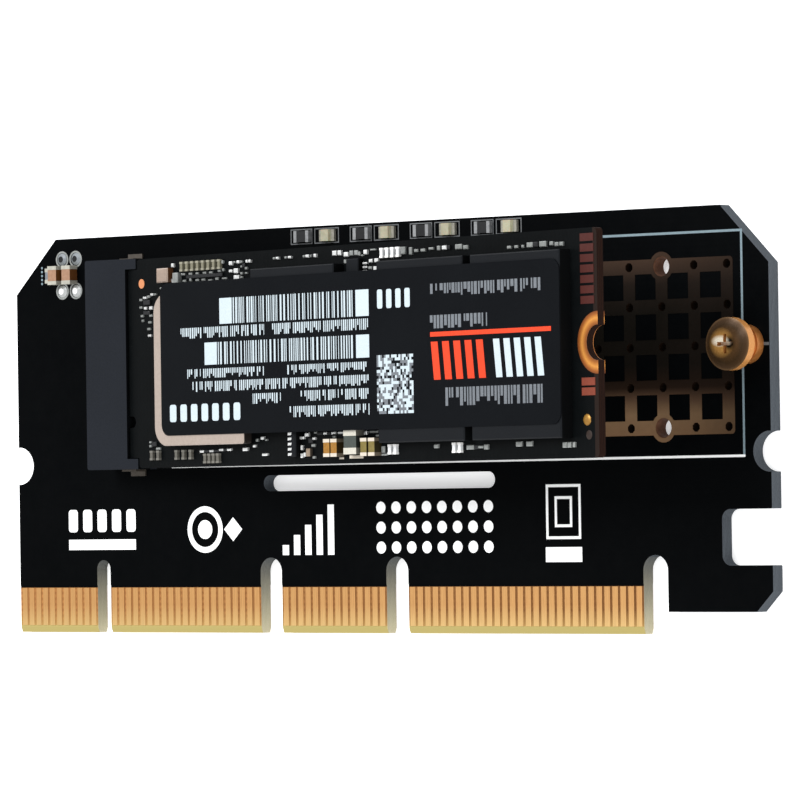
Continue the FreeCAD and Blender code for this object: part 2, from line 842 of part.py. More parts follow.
def main():
    os.makedirs("parts", exist_ok=True)
    write("adapter_board", [adapter_board()])
    write("front_edge_contacts", edge_contacts(board_thickness - plating))
    write("back_edge_contacts", edge_contacts(0))
    write("cooling_mesh", [cooling_mesh()])
    write("fixing_hole_rings", [fixing_hole_ring(x, y) for x, y in fixing_hole_places()])
    write("socket_housing", [socket_housing()])
    write("socket_upper_springs", upper_springs())
    write("socket_lower_springs", lower_springs())
    write("socket_hold_down_tabs", [hold_down_tab(-1), hold_down_tab(1)])
    write("standoff", [standoff()])
    write("module_screw", [module_screw()])

    bodies, ends = light_row(resistor_x, resistor_height, end_step)
    write("light_resistor_bodies", bodies)
    write("light_resistor_ends", ends)
    write("indicator_light_lenses", light_lenses())
    write("indicator_light_ends", light_row(light_x, light_base_height, 0)[1])
    bodies, ends = filter_parts()
    write("filter_capacitor_bodies", bodies)
    write("filter_capacitor_ends", ends)
    body, ends = two_ended(bead_x, filter_y, board_thickness, bead_length, bead_width, bead_height,
                           chip_end, "y")
    write("filter_bead_body", [body])
    write("filter_bead_ends", ends)
    write("solder_pads", solder_pads())

    write("drive_board", lifted([drive_board()]))
    write("drive_edge_contacts", lifted(drive_edge_contacts()))
    write("drive_screw_ring", lifted(drive_screw_ring()))
    base, cap = controller()
    write("drive_controller", lifted([base]))
    write("drive_controller_cap", lifted([cap]))
    write("drive_cache_chip", lifted([package(cache_start, cache_length, cache_margins)]))
    starts = (memory_start, memory_start + memory_length + memory_gap)
    write("drive_memory_chips", lifted([package(s, memory_length, memory_margins) for s in starts]))
    write("drive_label", lifted([drive_label()]))
    write("drive_crystal", lifted([crystal()]))
    body, pins = regulator()
    write("drive_regulator", lifted([body]))
    write("drive_regulator_pins", lifted(pins))
    place = (cache_end + inductor_after, lower_edge + inductor_margin)
    body, ends = flat_two_ended(place, inductor_size, inductor_end)
    write("drive_inductor_body", lifted([body]))
    write("drive_inductor_ends", lifted(ends))
    bodies, first_ends = power_parts([cache_end - gap for gap in input_capacitors_before])
    write("drive_input_capacitors", lifted(bodies))
    bodies, second_ends = power_parts([cache_end + gap for gap in output_capacitors_after])
    write("drive_output_capacitors", lifted(bodies))
    write("drive_capacitor_ends", lifted(first_ends + second_ends))
    bodies, ends = small_parts()
    write("drive_small_part_bodies", lifted(bodies))
    write("drive_small_part_ends", lifted(ends))
    write("drive_test_pads", lifted(test_pads() + [locating_dot()]))


main()
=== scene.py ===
import math
import random

import bmesh
import bpy
from mathutils import Matrix, Vector


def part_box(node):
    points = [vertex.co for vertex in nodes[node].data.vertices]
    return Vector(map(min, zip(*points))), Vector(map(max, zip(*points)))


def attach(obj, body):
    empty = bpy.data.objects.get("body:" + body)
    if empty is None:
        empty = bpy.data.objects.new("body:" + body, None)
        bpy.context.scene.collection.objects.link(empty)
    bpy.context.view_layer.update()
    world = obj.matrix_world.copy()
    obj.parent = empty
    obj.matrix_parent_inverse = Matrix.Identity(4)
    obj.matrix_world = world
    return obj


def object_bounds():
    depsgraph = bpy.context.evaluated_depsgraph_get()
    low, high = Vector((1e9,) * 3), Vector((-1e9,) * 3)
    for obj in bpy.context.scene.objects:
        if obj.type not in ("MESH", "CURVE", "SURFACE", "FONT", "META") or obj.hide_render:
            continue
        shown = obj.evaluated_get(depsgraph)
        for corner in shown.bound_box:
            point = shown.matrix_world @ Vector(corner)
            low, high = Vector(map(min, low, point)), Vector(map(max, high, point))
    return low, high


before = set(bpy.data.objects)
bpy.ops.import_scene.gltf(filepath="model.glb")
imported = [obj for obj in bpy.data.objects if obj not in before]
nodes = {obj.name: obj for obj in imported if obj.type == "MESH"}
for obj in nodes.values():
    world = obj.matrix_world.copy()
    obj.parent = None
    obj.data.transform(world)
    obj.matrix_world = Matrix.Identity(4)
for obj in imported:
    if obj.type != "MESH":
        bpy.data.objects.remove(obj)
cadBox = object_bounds()
mm = 0.001
print("frame loaded:", len(nodes), "nodes")


# places on the card and on the lifted drive

cardLow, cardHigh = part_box("adapter_board")
faceHeight = cardHigh.z
cardPlace = Matrix.Translation((cardLow.x, cardLow.y, faceHeight))
driveTilt = math.radians(13)
driveThickness = 0.8    # mm


def onCard(x, y):    # a place in the frame as mm from the card's left edge and from its contact tips
    return (x - cardLow.x) / mm, (y - cardLow.y) / mm


def driveFrame():    # along the drive, across it and up from its under side
    low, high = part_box("drive_board")
    edge = Vector((low.x + driveThickness * mm * math.sin(driveTilt), (low.y + high.y) / 2, low.z))
    return Matrix.Translation(edge) @ Matrix.Rotation(-driveTilt, 4, "Y")


drivePlace = driveFrame()


def alongDrive(distance):    # where the frame's x is at this many mm along the drive
    return (drivePlace @ Vector((distance * mm, 0, 0))).x


# shapes

tiny = 1e-5    # mm, less than any step in these shapes


def evenly(first, last, count):    # this many places from the first to the last
    return [first + (last - first) * i / (count - 1) for i in range(count)]


def addBlock(shape, x, y, z, slant=0.0):    # x, y and z are pairs in mm
    size = Vector((x[1] - x[0], y[1] - y[0], z[1] - z[0]))
    centre = Vector((x[0] + x[1], y[0] + y[1], z[0] + z[1])) / 2
    corners = bmesh.ops.create_cube(shape, size=1, matrix=Matrix.LocRotScale(centre, None, size))["verts"]
    for corner in corners:
        corner.co.x += slant * (corner.co.y - centre.y)
    return corners


def addFrame(shape, x, y, z, line):    # a rectangle drawn with a line
    addBlock(shape, x, (y[0], y[0] + line), z)
    addBlock(shape, x, (y[1] - line, y[1]), z)
    addBlock(shape, (x[0], x[0] + line), (y[0] + line, y[1] - line), z)
    addBlock(shape, (x[1] - line, x[1]), (y[0] + line, y[1] - line), z)


def addDisc(shape, x, y, z, radius, sides=20):
    spot = Matrix.Translation((x, y, (z[0] + z[1]) / 2))
    return bmesh.ops.create_cone(shape, cap_ends=True, segments=sides, radius1=radius, radius2=radius,
                                 depth=z[1] - z[0], matrix=spot)["verts"]


def addRing(shape, x, y, z, outer, inner, sides):
    made = []
    for radius in (inner, outer):
        made += bmesh.ops.create_circle(shape, segments=sides, radius=radius,
                                        matrix=Matrix.Translation((x, y, z[0])))["verts"]
    rims = list({e for v in made for e in v.link_edges})
    faces = bmesh.ops.bridge_loops(shape, edges=rims)["faces"]
    risen = bmesh.ops.extrude_face_region(shape, geom=faces)["geom"]
    bmesh.ops.translate(shape, vec=(0, 0, z[1] - z[0]),
                        verts=[g for g in risen if isinstance(g, bmesh.types.BMVert)])


def bevelEdges(shape, edges, size, steps):
    bmesh.ops.bevel(shape, geom=list(edges), offset=size, segments=steps, profile=0.5, affect="EDGES",
                    material=-1)


def roundCorners(shape, corners, size, steps):    # of the upright edges between these corners
    upright = {e for v in corners for e in v.link_edges
               if abs(e.verts[0].co.z - e.verts[1].co.z) > tiny
               and (e.verts[0].co - e.verts[1].co).xy.length < tiny}
    bevelEdges(shape, upright, size, steps)


def softenTop(shape, corners, size):
    top = max(v.co.z for v in corners)
    rim = {e for v in corners for e in v.link_edges if all(abs(w.co.z - top) < tiny for w in e.verts)}
    bevelEdges(shape, rim, size, 1)


def addTiles(shape, look, z):    # a few equal blocks with rounded corners
    left, right = look["x"]
    for at in evenly(left, right - look["width"], look["count"]):
        block = addBlock(shape, (at, at + look["width"]), look["y"], z)
        roundCorners(shape, block, look["round"], look["steps"])


def addObject(name, data):
    made = bpy.data.objects.new(name, data)
    bpy.context.scene.collection.objects.link(made)
    return made


def meshOf(name, shape, finish):
    mesh = bpy.data.meshes.new(name)
    shape.to_mesh(mesh)
    shape.free()
    mesh.materials.append(finish)
    return mesh


def newPiece(name, shape, place, finish):    # shape in mm, turned into its place
    bmesh.ops.scale(shape, vec=(mm, mm, mm), verts=shape.verts)
    bmesh.ops.transform(shape, matrix=place, verts=shape.verts)
    bmesh.ops.recalc_face_normals(shape, faces=shape.faces)
    piece = addObject(name, meshOf(name, shape, finish))
    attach(piece, "root")


# shader tools

def tint(code):    # "#rrggbb" to a linear colour
    parts = [int(code[i:i + 2], 16) / 255 for i in (1, 3, 5)]
    return tuple(p / 12.92 if p < 0.04045 else ((p + 0.055) / 1.055) ** 2.4 for p in parts) + (1.0,)


def addNode(tree, kind, values=None, **settings):
    made = tree.nodes.new(kind)
    for name, value in settings.items():
        setattr(made, name, value)
    for name, value in (values or {}).items():
        if isinstance(value, bpy.types.NodeSocket):
            tree.links.new(value, made.inputs[name])
        else:
            made.inputs[name].default_value = value
    return made


def placeGroup(tree, group, values):
    return addNode(tree, "ShaderNodeGroup", values, node_tree=group).outputs


def mixColours(tree, share, first, second):
    mixed = addNode(tree, "ShaderNodeMix", {0: share, 6: first, 7: second}, data_type="RGBA")
    return mixed.outputs[2]


def sumUp(tree, kind, *values):
    return addNode(tree, "ShaderNodeMath", dict(enumerate(values)), operation=kind).outputs[0]


def reckon(tree, kind, first, second=None):    # the same for points and directions
    values = {0: first} if second is None else {0: first, 1: second}
    return addNode(tree, "ShaderNodeVectorMath", values, operation=kind).outputs


def spread(tree, value, low, high, outLow=0.0, outHigh=1.0):
    return addNode(tree, "ShaderNodeMapRange", {0: value, 1: low, 2: high, 3: outLow, 4: outHigh}).outputs[0]


def pastLimit(tree, value, limit):    # 1 beyond the limit, 0 before it
    return sumUp(tree, "GREATER_THAN", value, limit)


def beforeLimit(tree, value, limit):
    return sumUp(tree, "LESS_THAN", value, limit)


def both(tree, first, second):
    return sumUp(tree, "MULTIPLY", first, second)


def between(tree, value, low, high):
    return both(tree, pastLimit(tree, value, low), beforeLimit(tree, value, high))


def axes(tree, place):
    return addNode(tree, "ShaderNodeSeparateXYZ", {0: place}).outputs


def rampOf(tree, value, stops):    # stops are pairs of place and "#rrggbb"
    ramp = addNode(tree, "ShaderNodeValToRGB", {0: value})
    points = ramp.color_ramp.elements
    while len(points) < len(stops):
        points.new(0.5)
    for point, (spot, code) in zip(points, stops):
        point.position, point.color = spot, tint(code)
    return ramp.outputs[0]


def startGroup(name, inputs, outputs):
    tree = bpy.data.node_groups.new(name, "ShaderNodeTree")
    for label, kind, value in inputs:
        socket = tree.interface.new_socket(label, in_out="INPUT", socket_type="NodeSocket" + kind)
        if value is not None:
            socket.default_value = value
    for label, kind in outputs:
        tree.interface.new_socket(label, in_out="OUTPUT", socket_type="NodeSocket" + kind)
    return tree, tree.nodes.new("NodeGroupInput").outputs, tree.nodes.new("NodeGroupOutput").inputs


# patterns that the finishes share

grainLook = {"fine": {"Detail": 3.0, "Roughness": 0.6}, "cloud": {"Scale": 130.0, "Detail": 2.0},
             "range": (0.3, 0.7)}
streakLook = {"lines": {"Scale": 1.0, "Detail": 4.0, "Roughness": 0.65}, "range": (0.35, 0.65)}
clothLook = {"threads": {"Distortion": 0.6, "Detail": 1.0},
             "layers": {"Scale": 1500.0, "Distortion": 2.5, "Detail": 2.0, "Detail Scale": 3.0}}


def addNoise(tree, place, values):
    return addNode(tree, "ShaderNodeTexNoise", {"Vector": place, **values}).outputs[0]


def addWave(tree, place, direction, values):
    return addNode(tree, "ShaderNodeTexWave", {"Vector": place, **values}, wave_type="BANDS",
                   bands_direction=direction).outputs[1]


def makeGrain():    # fine grain with a slower cloud over it
    tree, given, out = startGroup("grain", [("Place", "Vector", None), ("Scale", "Float", 2000.0),
                                            ("Cloud", "Float", 0.4)],
                                  [("Mask", "Float"), ("Height", "Float")])
    fine = addNoise(tree, given["Place"], {"Scale": given["Scale"], **grainLook["fine"]})
    wide = addNoise(tree, given["Place"], grainLook["cloud"])
    mixed = addNode(tree, "ShaderNodeMix", {0: given["Cloud"], 2: fine, 3: wide}).outputs[0]
    tree.links.new(spread(tree, mixed, *grainLook["range"]), out["Mask"])
    tree.links.new(fine, out["Height"])
    return tree


def makeStreaks():    # fine lines drawn out along one direction
    tree, given, out = startGroup("streaks", [("Place", "Vector", None), ("Stretch", "Vector", (1, 1, 1))],
                                  [("Mask", "Float")])
    drawn = reckon(tree, "MULTIPLY", given["Place"], given["Stretch"])[0]
    lines = addNoise(tree, drawn, streakLook["lines"])
    tree.links.new(spread(tree, lines, *streakLook["range"]), out["Mask"])
    return tree


def makeSideWalls():    # 1 on faces that stand up from the card, 0 on those that lie along it
    tree, given, out = startGroup("sideWalls", [("Limit", "Float", 0.6)], [("Mask", "Float")])
    normal = addNode(tree, "ShaderNodeNewGeometry").outputs["Normal"]
    flat = sumUp(tree, "ABSOLUTE", axes(tree, normal)[2])
    tree.links.new(beforeLimit(tree, flat, given["Limit"]), out["Mask"])
    return tree


def makeLaminate():    # glass cloth: crossed threads on the faces and thin layers in the cut edges
    tree, given, out = startGroup("laminate", [("Place", "Vector", None), ("Threads", "Float", 520.0)],
                                  [("Cloth", "Float"), ("Layers", "Float")])
    place = given["Place"]
    threads = [addWave(tree, place, direction, {"Scale": given["Threads"], **clothLook["threads"]})
               for direction in "XY"]
    tree.links.new(both(tree, *threads), out["Cloth"])
    tree.links.new(addWave(tree, place, "Z", clothLook["layers"]), out["Layers"])
    return tree


grain, streaks, sideWalls, laminate = makeGrain(), makeStreaks(), makeSideWalls(), makeLaminate()


# how every finish is put together

def startFinish(name, look):
    finish = bpy.data.materials.new(name)
    finish.use_nodes = True
    tree = finish.node_tree
    shader = tree.nodes["Principled BSDF"]
    for socket, value in look.items():
        shader.inputs[socket].default_value = value
    return finish, tree, shader.inputs, addNode(tree, "ShaderNodeTexCoord").outputs["Object"]


def addSurface(tree, sockets, colour, mask, rough, height, relief):
    tree.links.new(colour, sockets["Base Color"])
    tree.links.new(spread(tree, mask, 0, 1, *rough), sockets["Roughness"])
    addRelief(tree, sockets, height, relief)


def addRelief(tree, sockets, height, relief):    # relief in mm
    bump = addNode(tree, "ShaderNodeBump", {"Height": height, "Distance": relief * mm, "Strength": 1.0})
    tree.links.new(bump.outputs[0], sockets["Normal"])


def wallMask(tree, limit=0.6):
    return placeGroup(tree, sideWalls, {"Limit": limit})["Mask"]


def grainedFinish(name, colourOf, look, scale, cloud, relief, rough):
    finish, tree, sockets, place = startFinish(name, look)
    marks = placeGroup(tree, grain, {"Place": place, "Scale": scale, "Cloud": cloud})
    addSurface(tree, sockets, colourOf(tree, place, marks["Mask"]), marks["Mask"], rough, marks["Height"],
               relief)
    return finish


def grainyFinish(name, shades, look, scale=2500.0, cloud=0.4, relief=0.01, rough=(0.4, 0.55)):
    def colourOf(tree, place, mask):
        return mixColours(tree, mask, tint(shades[0]), tint(shades[1]))
    return grainedFinish(name, colourOf, look, scale, cloud, relief, rough)


def metalFinish(name, shades, metallic=1.0, scale=1800.0, cloud=0.35, relief=0.006, rough=(0.25, 0.4)):
    return grainyFinish(name, shades, {"Metallic": metallic}, scale, cloud, relief, rough)


def walledFinish(name, shades, wall, look, scale=4200.0, cloud=0.35, relief=0.008, rough=(0.45, 0.6)):
    def colourOf(tree, place, mask):    # its sides get a painted shade of their own
        top = mixColours(tree, mask, tint(shades[0]), tint(shades[1]))
        return mixColours(tree, wallMask(tree), top, tint(wall))
    return grainedFinish(name, colourOf, look, scale, cloud, relief, rough)


# circuit boards

# the pale shades of the low slot walls are painted light reflected from the floor
maskLook = {"cardFace": ("#040506", "#060708"), "cardEdge": ("#565b60", "#3a3e43"), "cardShine": 0.012,
            "driveFace": ("#07090a", "#0b0d0e"), "driveEdge": ("#24150f", "#160e0c"), "driveShine": 0.025,
            "bare": ("#8e623a", "#a87747"), "bareDeep": "#5c3c22", "bareTip": "#a68550", "bareShare": 0.8,
            "bevel": "#a2945e", "tipTop": 2.4, "bareTop": 4.78, "bevelTop": 0.75,
            "litLowWall": ("#bab29a", "#a39d80"), "wallTop": 8.3, "viaWall": "#1a110b",
            "driveRim": "#241c19", "rimFrom": 79.2, "threads": 520.0, "scale": 900.0, "cloud": 0.5,
            "rough": (0.3, 0.42), "wallRough": 0.8, "relief": 0.004}


def boardFinish(name, faceShades, edgeShades, shine, faceOf, edgeOf=None):
    finish, tree, sockets, place = startFinish(name, {"Specular IOR Level": shine})
    cloth = placeGroup(tree, laminate, {"Place": place, "Threads": maskLook["threads"]})
    marks = placeGroup(tree, grain, {"Place": place, "Scale": maskLook["scale"], "Cloud": maskLook["cloud"]})
    walls = wallMask(tree)
    x, y = axes(tree, place)[:2]
    face = faceOf(tree, x, y, cloth, mixColours(tree, marks["Mask"], *map(tint, faceShades)))
    edge = mixColours(tree, cloth["Layers"], *map(tint, edgeShades))
    if edgeOf:
        edge = edgeOf(tree, x, y, cloth, edge)
    tree.links.new(mixColours(tree, walls, face, edge), sockets["Base Color"])
    faceRough = spread(tree, marks["Mask"], 0, 1, *maskLook["rough"])
    rough = addNode(tree, "ShaderNodeMix", {0: walls, 2: faceRough, 3: maskLook["wallRough"]}).outputs[0]
    tree.links.new(rough, sockets["Roughness"])
    addRelief(tree, sockets, cloth["Cloth"], maskLook["relief"])
    return finish


def aboveTips(distance):    # where the frame's y is at this many mm above the contact tips
    return cardLow.y + distance * mm


def onTongue(tree, x):
    return beforeLimit(tree, x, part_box("front_edge_contacts")[1].x + mm)


def cardFace(tree, x, y, cloth, face):    # bare laminate on the tongue, darker between the far contacts
    look = maskLook
    first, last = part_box("front_edge_contacts")
    bare = mixColours(tree, cloth["Cloth"], *map(tint, look["bare"]))
    deep = spread(tree, x, first.x, last.x, 0.0, look["bareShare"])
    bare = mixColours(tree, deep, bare, tint(look["bareDeep"]))
    tips = spread(tree, y, aboveTips(look["tipTop"]), aboveTips(look["bevelTop"]), 0.0, look["bareShare"])
    bare = mixColours(tree, tips, bare, tint(look["bareTip"]))
    bare = mixColours(tree, beforeLimit(tree, y, aboveTips(look["bevelTop"])), bare, tint(look["bevel"]))
    tongue = both(tree, onTongue(tree, x), beforeLimit(tree, y, aboveTips(look["bareTop"])))
    return mixColours(tree, tongue, face, bare)


def cardEdge(tree, x, y, cloth, edge):    # pale walls low in the slots as painted light reflected from the floor, brown walls in the vias
    pale = mixColours(tree, cloth["Layers"], *map(tint, maskLook["litLowWall"]))
    litLowWall = spread(tree, y, aboveTips(maskLook["wallTop"]), cardLow.y)
    edge = mixColours(tree, both(tree, onTongue(tree, x), litLowWall), edge, pale)
    low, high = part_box("cooling_mesh")
    inside = both(tree, between(tree, x, low.x, high.x), between(tree, y, low.y, high.y))
    return mixColours(tree, inside, edge, tint(maskLook["viaWall"]))


def driveFace(tree, x, y, cloth, face):    # a brown rim at the free end
    rim = pastLimit(tree, x, alongDrive(maskLook["rimFrom"]))
    return mixColours(tree, rim, face, tint(maskLook["driveRim"]))


# gold and copper

goldLook = {"shades": ("#d8a66b", "#b98a58"), "tip": "#dfc083", "streak": (9000, 350, 900), "pale": 2.2,
            "tipShare": 0.65, "rough": (0.28, 0.45), "relief": 0.004}
# the ring's stops are a painted highlight along its middle and painted shade at its rims
ringLook = {"centre": (80.0, 0.0, driveThickness), "rims": (1.6, 3.1), "wearAndGlow": "#8a4a1c", "wornShare": 0.25,
            "stops": ((0.0, "#6b3614"), (0.25, "#b26d2c"), (0.5, "#e59d48"), (0.75, "#a86126"),
                      (1.0, "#5f2d10"))}
# the copper's stops paint a reflection at the row near the contacts and the shade of the lifted drive over
# the middle rows
copperLook = {"stops": ((0.0, "#7d6147"), (0.12, "#856a4f"), (0.2, "#5c4636"), (0.27, "#271c15"),
                        (0.4, "#12100d"), (0.7, "#110f0c"), (0.86, "#1b1511"), (1.0, "#3a2c23")),
              "shade": "#17110d", "shadeShare": 0.6, "spot": "#1c130e", "spotShare": 0.22}
padLook = {"dot": "#c9845a", "dotUpTo": 10.0, "upper": "#4a1f1a", "lower": "#84402f", "wearAndGlow": "#2b1511",
           "wornShare": 0.35}


def goldFinish(name):    # streaks run the way the contact slides, paler towards the tips
    finish, tree, sockets, place = startFinish(name, {"Metallic": 1.0})
    mask = placeGroup(tree, streaks, {"Place": place, "Stretch": goldLook["streak"]})["Mask"]
    body = mixColours(tree, mask, *map(tint, goldLook["shades"]))
    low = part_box("front_edge_contacts")[0].y
    pale = spread(tree, axes(tree, place)[1], low, low + goldLook["pale"] * mm, goldLook["tipShare"], 0.0)
    colour = mixColours(tree, pale, body, tint(goldLook["tip"]))
    addSurface(tree, sockets, colour, mask, goldLook["rough"], mask, goldLook["relief"])
    return finish


def ringHighlightColour(tree, place, mask):    # a painted highlight along the middle of the ring, painted shade browner at its rims
    reach = reckon(tree, "DISTANCE", place, drivePlace @ (Vector(ringLook["centre"]) * mm))["Value"]
    inner, outer = ringLook["rims"]
    shade = rampOf(tree, spread(tree, reach, inner * mm, outer * mm), ringLook["stops"])
    return mixColours(tree, both(tree, mask, ringLook["wornShare"]), shade, tint(ringLook["wearAndGlow"]))


def copperShadeColour(tree, place, mask):    # painted reflection and painted shade: bright at the row near the contacts, dark in the middle rows under the lifted drive, dim further up
    low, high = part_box("cooling_mesh")
    x, y = axes(tree, place)[:2]
    base = rampOf(tree, spread(tree, y, low.y, high.y), copperLook["stops"])
    shaded = spread(tree, x, (low.x + high.x) / 2, high.x, 0.0, copperLook["shadeShare"])
    base = mixColours(tree, shaded, base, tint(copperLook["shade"]))
    return mixColours(tree, both(tree, mask, copperLook["spotShare"]), base, tint(copperLook["spot"]))


def padColour(tree, place, mask):    # copper marks on the drive, each row in its own tone
    x, y = axes(tree, place)[:2]
    upper = pastLimit(tree, y, drivePlace.translation.y)
    rows = mixColours(tree, upper, tint(padLook["lower"]), tint(padLook["upper"]))
    rows = mixColours(tree, both(tree, mask, padLook["wornShare"]), rows, tint(padLook["wearAndGlow"]))
    return mixColours(tree, pastLimit(tree, x, alongDrive(padLook["dotUpTo"])), tint(padLook["dot"]), rows)


# the screw, the solder pads and the smallest parts

# the screw's stops run from a dark middle to a paler rim, the rim a painted highlight; the wide orange oval
# is a painted glow, the small pale oval a painted highlight and the dark oval painted shade over the recess;
# its side colour is painted light
screwLook = {"reach": 2.7, "wall": "#b27a42",
             "stops": ((0.0, "#5e4223"), (0.5, "#4c3620"), (0.7, "#3a2a19"), (0.88, "#422f1d"),
                       (0.96, "#5a432b"), (1.0, "#725535")),
             "wearAndGlow": {"spot": (-0.5, 0.1), "size": (1.6, 1.55), "shade": "#b88848"},
             "paintedHighlight": {"spot": (-0.62, 0.28), "size": (1.2, 0.62), "shade": "#fff4dc"},
             "recess": {"spot": (0.5, 0.05), "size": (0.8, 0.85), "shade": "#130e09"}, "fade": 0.45}
# the white tops of the lower pads are a painted highlight
domeLook = {"slopeLimit": 0.95, "dull": ("#1b1d1f", "#8d9398"), "bright": ("#ffffff", "#b9bcbc")}
chipLook = {"body": ("#4c4a45", "#726f5c", "#dfe1e2"), "end": ("#66645f", "#8f8c7b", "#f1f1ef"),
            "wearAndGlow": "#6d6a5e", "wornShare": 0.4, "rightFrom": 30.0}


def ovalMask(tree, place, top, look):    # 1 in the middle of an upright oval column, 0 outside it
    x, y = look["spot"]
    across, along = look["size"]
    away = reckon(tree, "SUBTRACT", place, (top.x + x * mm, top.y + y * mm, 0.0))[0]
    away = reckon(tree, "MULTIPLY", away, (1 / (across * mm), 1 / (along * mm), 0.0))[0]
    return spread(tree, reckon(tree, "LENGTH", away)["Value"], 1.0, screwLook["fade"])


def screwPaintedLightColour(tree, place, mask):    # dark antique brass with a painted glow and a painted highlight beside the recess, painted shade over the recess, a paler rim as a painted highlight and painted light on its sides
    low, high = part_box("module_screw")
    top = Vector(((low.x + high.x) / 2, (low.y + high.y) / 2, high.z))
    reach = reckon(tree, "DISTANCE", place, top)["Value"]
    shade = rampOf(tree, spread(tree, reach, 0.0, screwLook["reach"] * mm), screwLook["stops"])
    for part in ("wearAndGlow", "recess", "paintedHighlight"):
        look = screwLook[part]
        shade = mixColours(tree, ovalMask(tree, place, top, look), shade, tint(look["shade"]))
    return mixColours(tree, wallMask(tree), shade, tint(screwLook["wall"]))


def domeHighlightColour(tree, place, mask):    # the two upper pads are dull rings with dark tops, the two lower ones shine with a painted highlight on their tops
    slope = wallMask(tree, domeLook["slopeLimit"])
    low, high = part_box("solder_pads")
    upper = pastLimit(tree, axes(tree, place)[1], (low.y + high.y) / 2)
    dull = mixColours(tree, slope, *map(tint, domeLook["dull"]))
    bright = mixColours(tree, slope, *map(tint, domeLook["bright"]))
    return mixColours(tree, upper, bright, dull)


def chipFinish(name, part):    # dim near the contacts, sand-coloured above, white further along
    def colourOf(tree, place, mask):
        low, high, right = map(tint, chipLook[part])
        x, y = axes(tree, place)[:2]
        shade = mixColours(tree, pastLimit(tree, y, drivePlace.translation.y), low, high)
        shade = mixColours(tree, both(tree, mask, chipLook["wornShare"]), shade, tint(chipLook["wearAndGlow"]))
        return mixColours(tree, pastLimit(tree, x, alongDrive(chipLook["rightFrom"])), shade, right)
    return grainedFinish(name, colourOf, {"Specular IOR Level": 0.3}, scale=5200.0, cloud=0.3,
                         relief=0.006, rough=(0.35, 0.5))


cardMask = boardFinish("cardMask", maskLook["cardFace"], maskLook["cardEdge"], maskLook["cardShine"],
                       cardFace, cardEdge)
driveMask = boardFinish("driveMask", maskLook["driveFace"], maskLook["driveEdge"], maskLook["driveShine"],
                        driveFace)
contactGold = goldFinish("contactGold")
ringGoldPaintedHighlight = grainedFinish("ringGoldPaintedHighlight", ringHighlightColour, {"Metallic": 0.6}, scale=2600.0, cloud=0.3, relief=0.005,
                         rough=(0.3, 0.5))
shadedCopper = grainedFinish("shadedCopper", copperShadeColour, {"Metallic": 0.15, "Specular IOR Level": 0.04},
                           scale=1400.0, cloud=0.6, relief=0.006, rough=(0.35, 0.6))
padCopper = grainedFinish("padCopper", padColour, {"Metallic": 0.2, "Specular IOR Level": 0.2},
                          scale=2200.0, cloud=0.4, relief=0.004, rough=(0.35, 0.55))
screwBrassPaintedLight = grainedFinish("screwBrassPaintedLight", screwPaintedLightColour, {"Metallic": 0.25, "Specular IOR Level": 0.12},
                           scale=1500.0, cloud=0.35, relief=0.002, rough=(0.2, 0.32))
highlitSolderDomes = grainedFinish("highlitSolderDomes", domeHighlightColour, {"Metallic": 0.5}, scale=2600.0, cloud=0.3,
                            relief=0.01, rough=(0.2, 0.35))
chipShell = chipFinish("chipShell", "body")
chipEnds = chipFinish("chipEnds", "end")

holeCopper = grainyFinish("holeCopper", ("#664635", "#43291b"), {"Specular IOR Level": 0.05}, scale=1800.0)
lightLens = grainyFinish("lightLens", ("#b8b498", "#95917a"),
                         {"Subsurface Weight": 0.3, "Subsurface Scale": 0.0004, "Coat Weight": 0.4},
                         scale=1800.0, cloud=0.5, relief=0.004, rough=(0.25, 0.35))
labelFilm = grainyFinish("labelFilm", ("#0b0d10", "#0f1114"), {"Specular IOR Level": 0.02}, scale=3000.0,
                         cloud=0.6, relief=0.003, rough=(0.42, 0.52))
whiteInk = grainyFinish("whiteInk", ("#fbfcfc", "#eceeee"), {"Specular IOR Level": 0.3}, scale=5200.0,
                        cloud=0.3, relief=0.003, rough=(0.55, 0.7))
paperWhite = grainyFinish("paperWhite", ("#bdcad0", "#afbcc3"), {"Specular IOR Level": 0.3}, scale=5200.0,
                          cloud=0.3, relief=0.003, rough=(0.55, 0.7))
faintInk = grainyFinish("faintInk", ("#7d8f97", "#697a82"), {"Specular IOR Level": 0.2}, scale=5200.0)
dimInk = grainyFinish("dimInk", ("#6d7072", "#545658"), {"Specular IOR Level": 0.2}, scale=5200.0)
greyInk = grainyFinish("greyInk", ("#6f747a", "#5c6167"), {"Specular IOR Level": 0.3}, scale=5200.0)
orangeInk = grainyFinish("orangeInk", ("#d94526", "#cc3c21"), {"Specular IOR Level": 0.1}, scale=5200.0)
brownVarnish = grainyFinish("brownVarnish", ("#2a1c15", "#1f1510"), {"Specular IOR Level": 0.3},
                            scale=2200.0)

standoffBrass = metalFinish("standoffBrass", ("#c98245", "#9c5f2c"), 0.5, scale=1500.0, relief=0.002,
                            rough=(0.25, 0.38))
goldSolder = metalFinish("goldSolder", ("#b3863a", "#855c25"), 0.5, scale=2200.0, relief=0.008)
tinnedSteel = metalFinish("tinnedSteel", ("#a79c8c", "#7d7468"), rough=(0.3, 0.5))
dimTin = metalFinish("dimTin", ("#4f4840", "#3b352f"), 0.3, rough=(0.4, 0.55))
solderShine = metalFinish("solderShine", ("#f4f5f4", "#c4c6c6"), 0.6, scale=2600.0, relief=0.012,
                          rough=(0.2, 0.34))
solderGrey = metalFinish("solderGrey", ("#9a9d9b", "#6f7371"), 0.4, scale=2600.0, relief=0.012,
                         rough=(0.3, 0.45))
lightEnds = metalFinish("lightEnds", ("#a6a498", "#75736a"), 0.4, scale=2600.0, relief=0.01)
resistorEnds = metalFinish("resistorEnds", ("#a2a4a6", "#6f7173"), 0.4, scale=2600.0, relief=0.01)
filterEnds = metalFinish("filterEnds", ("#bbb9ad", "#918f86"), 0.3, scale=2600.0, relief=0.01)
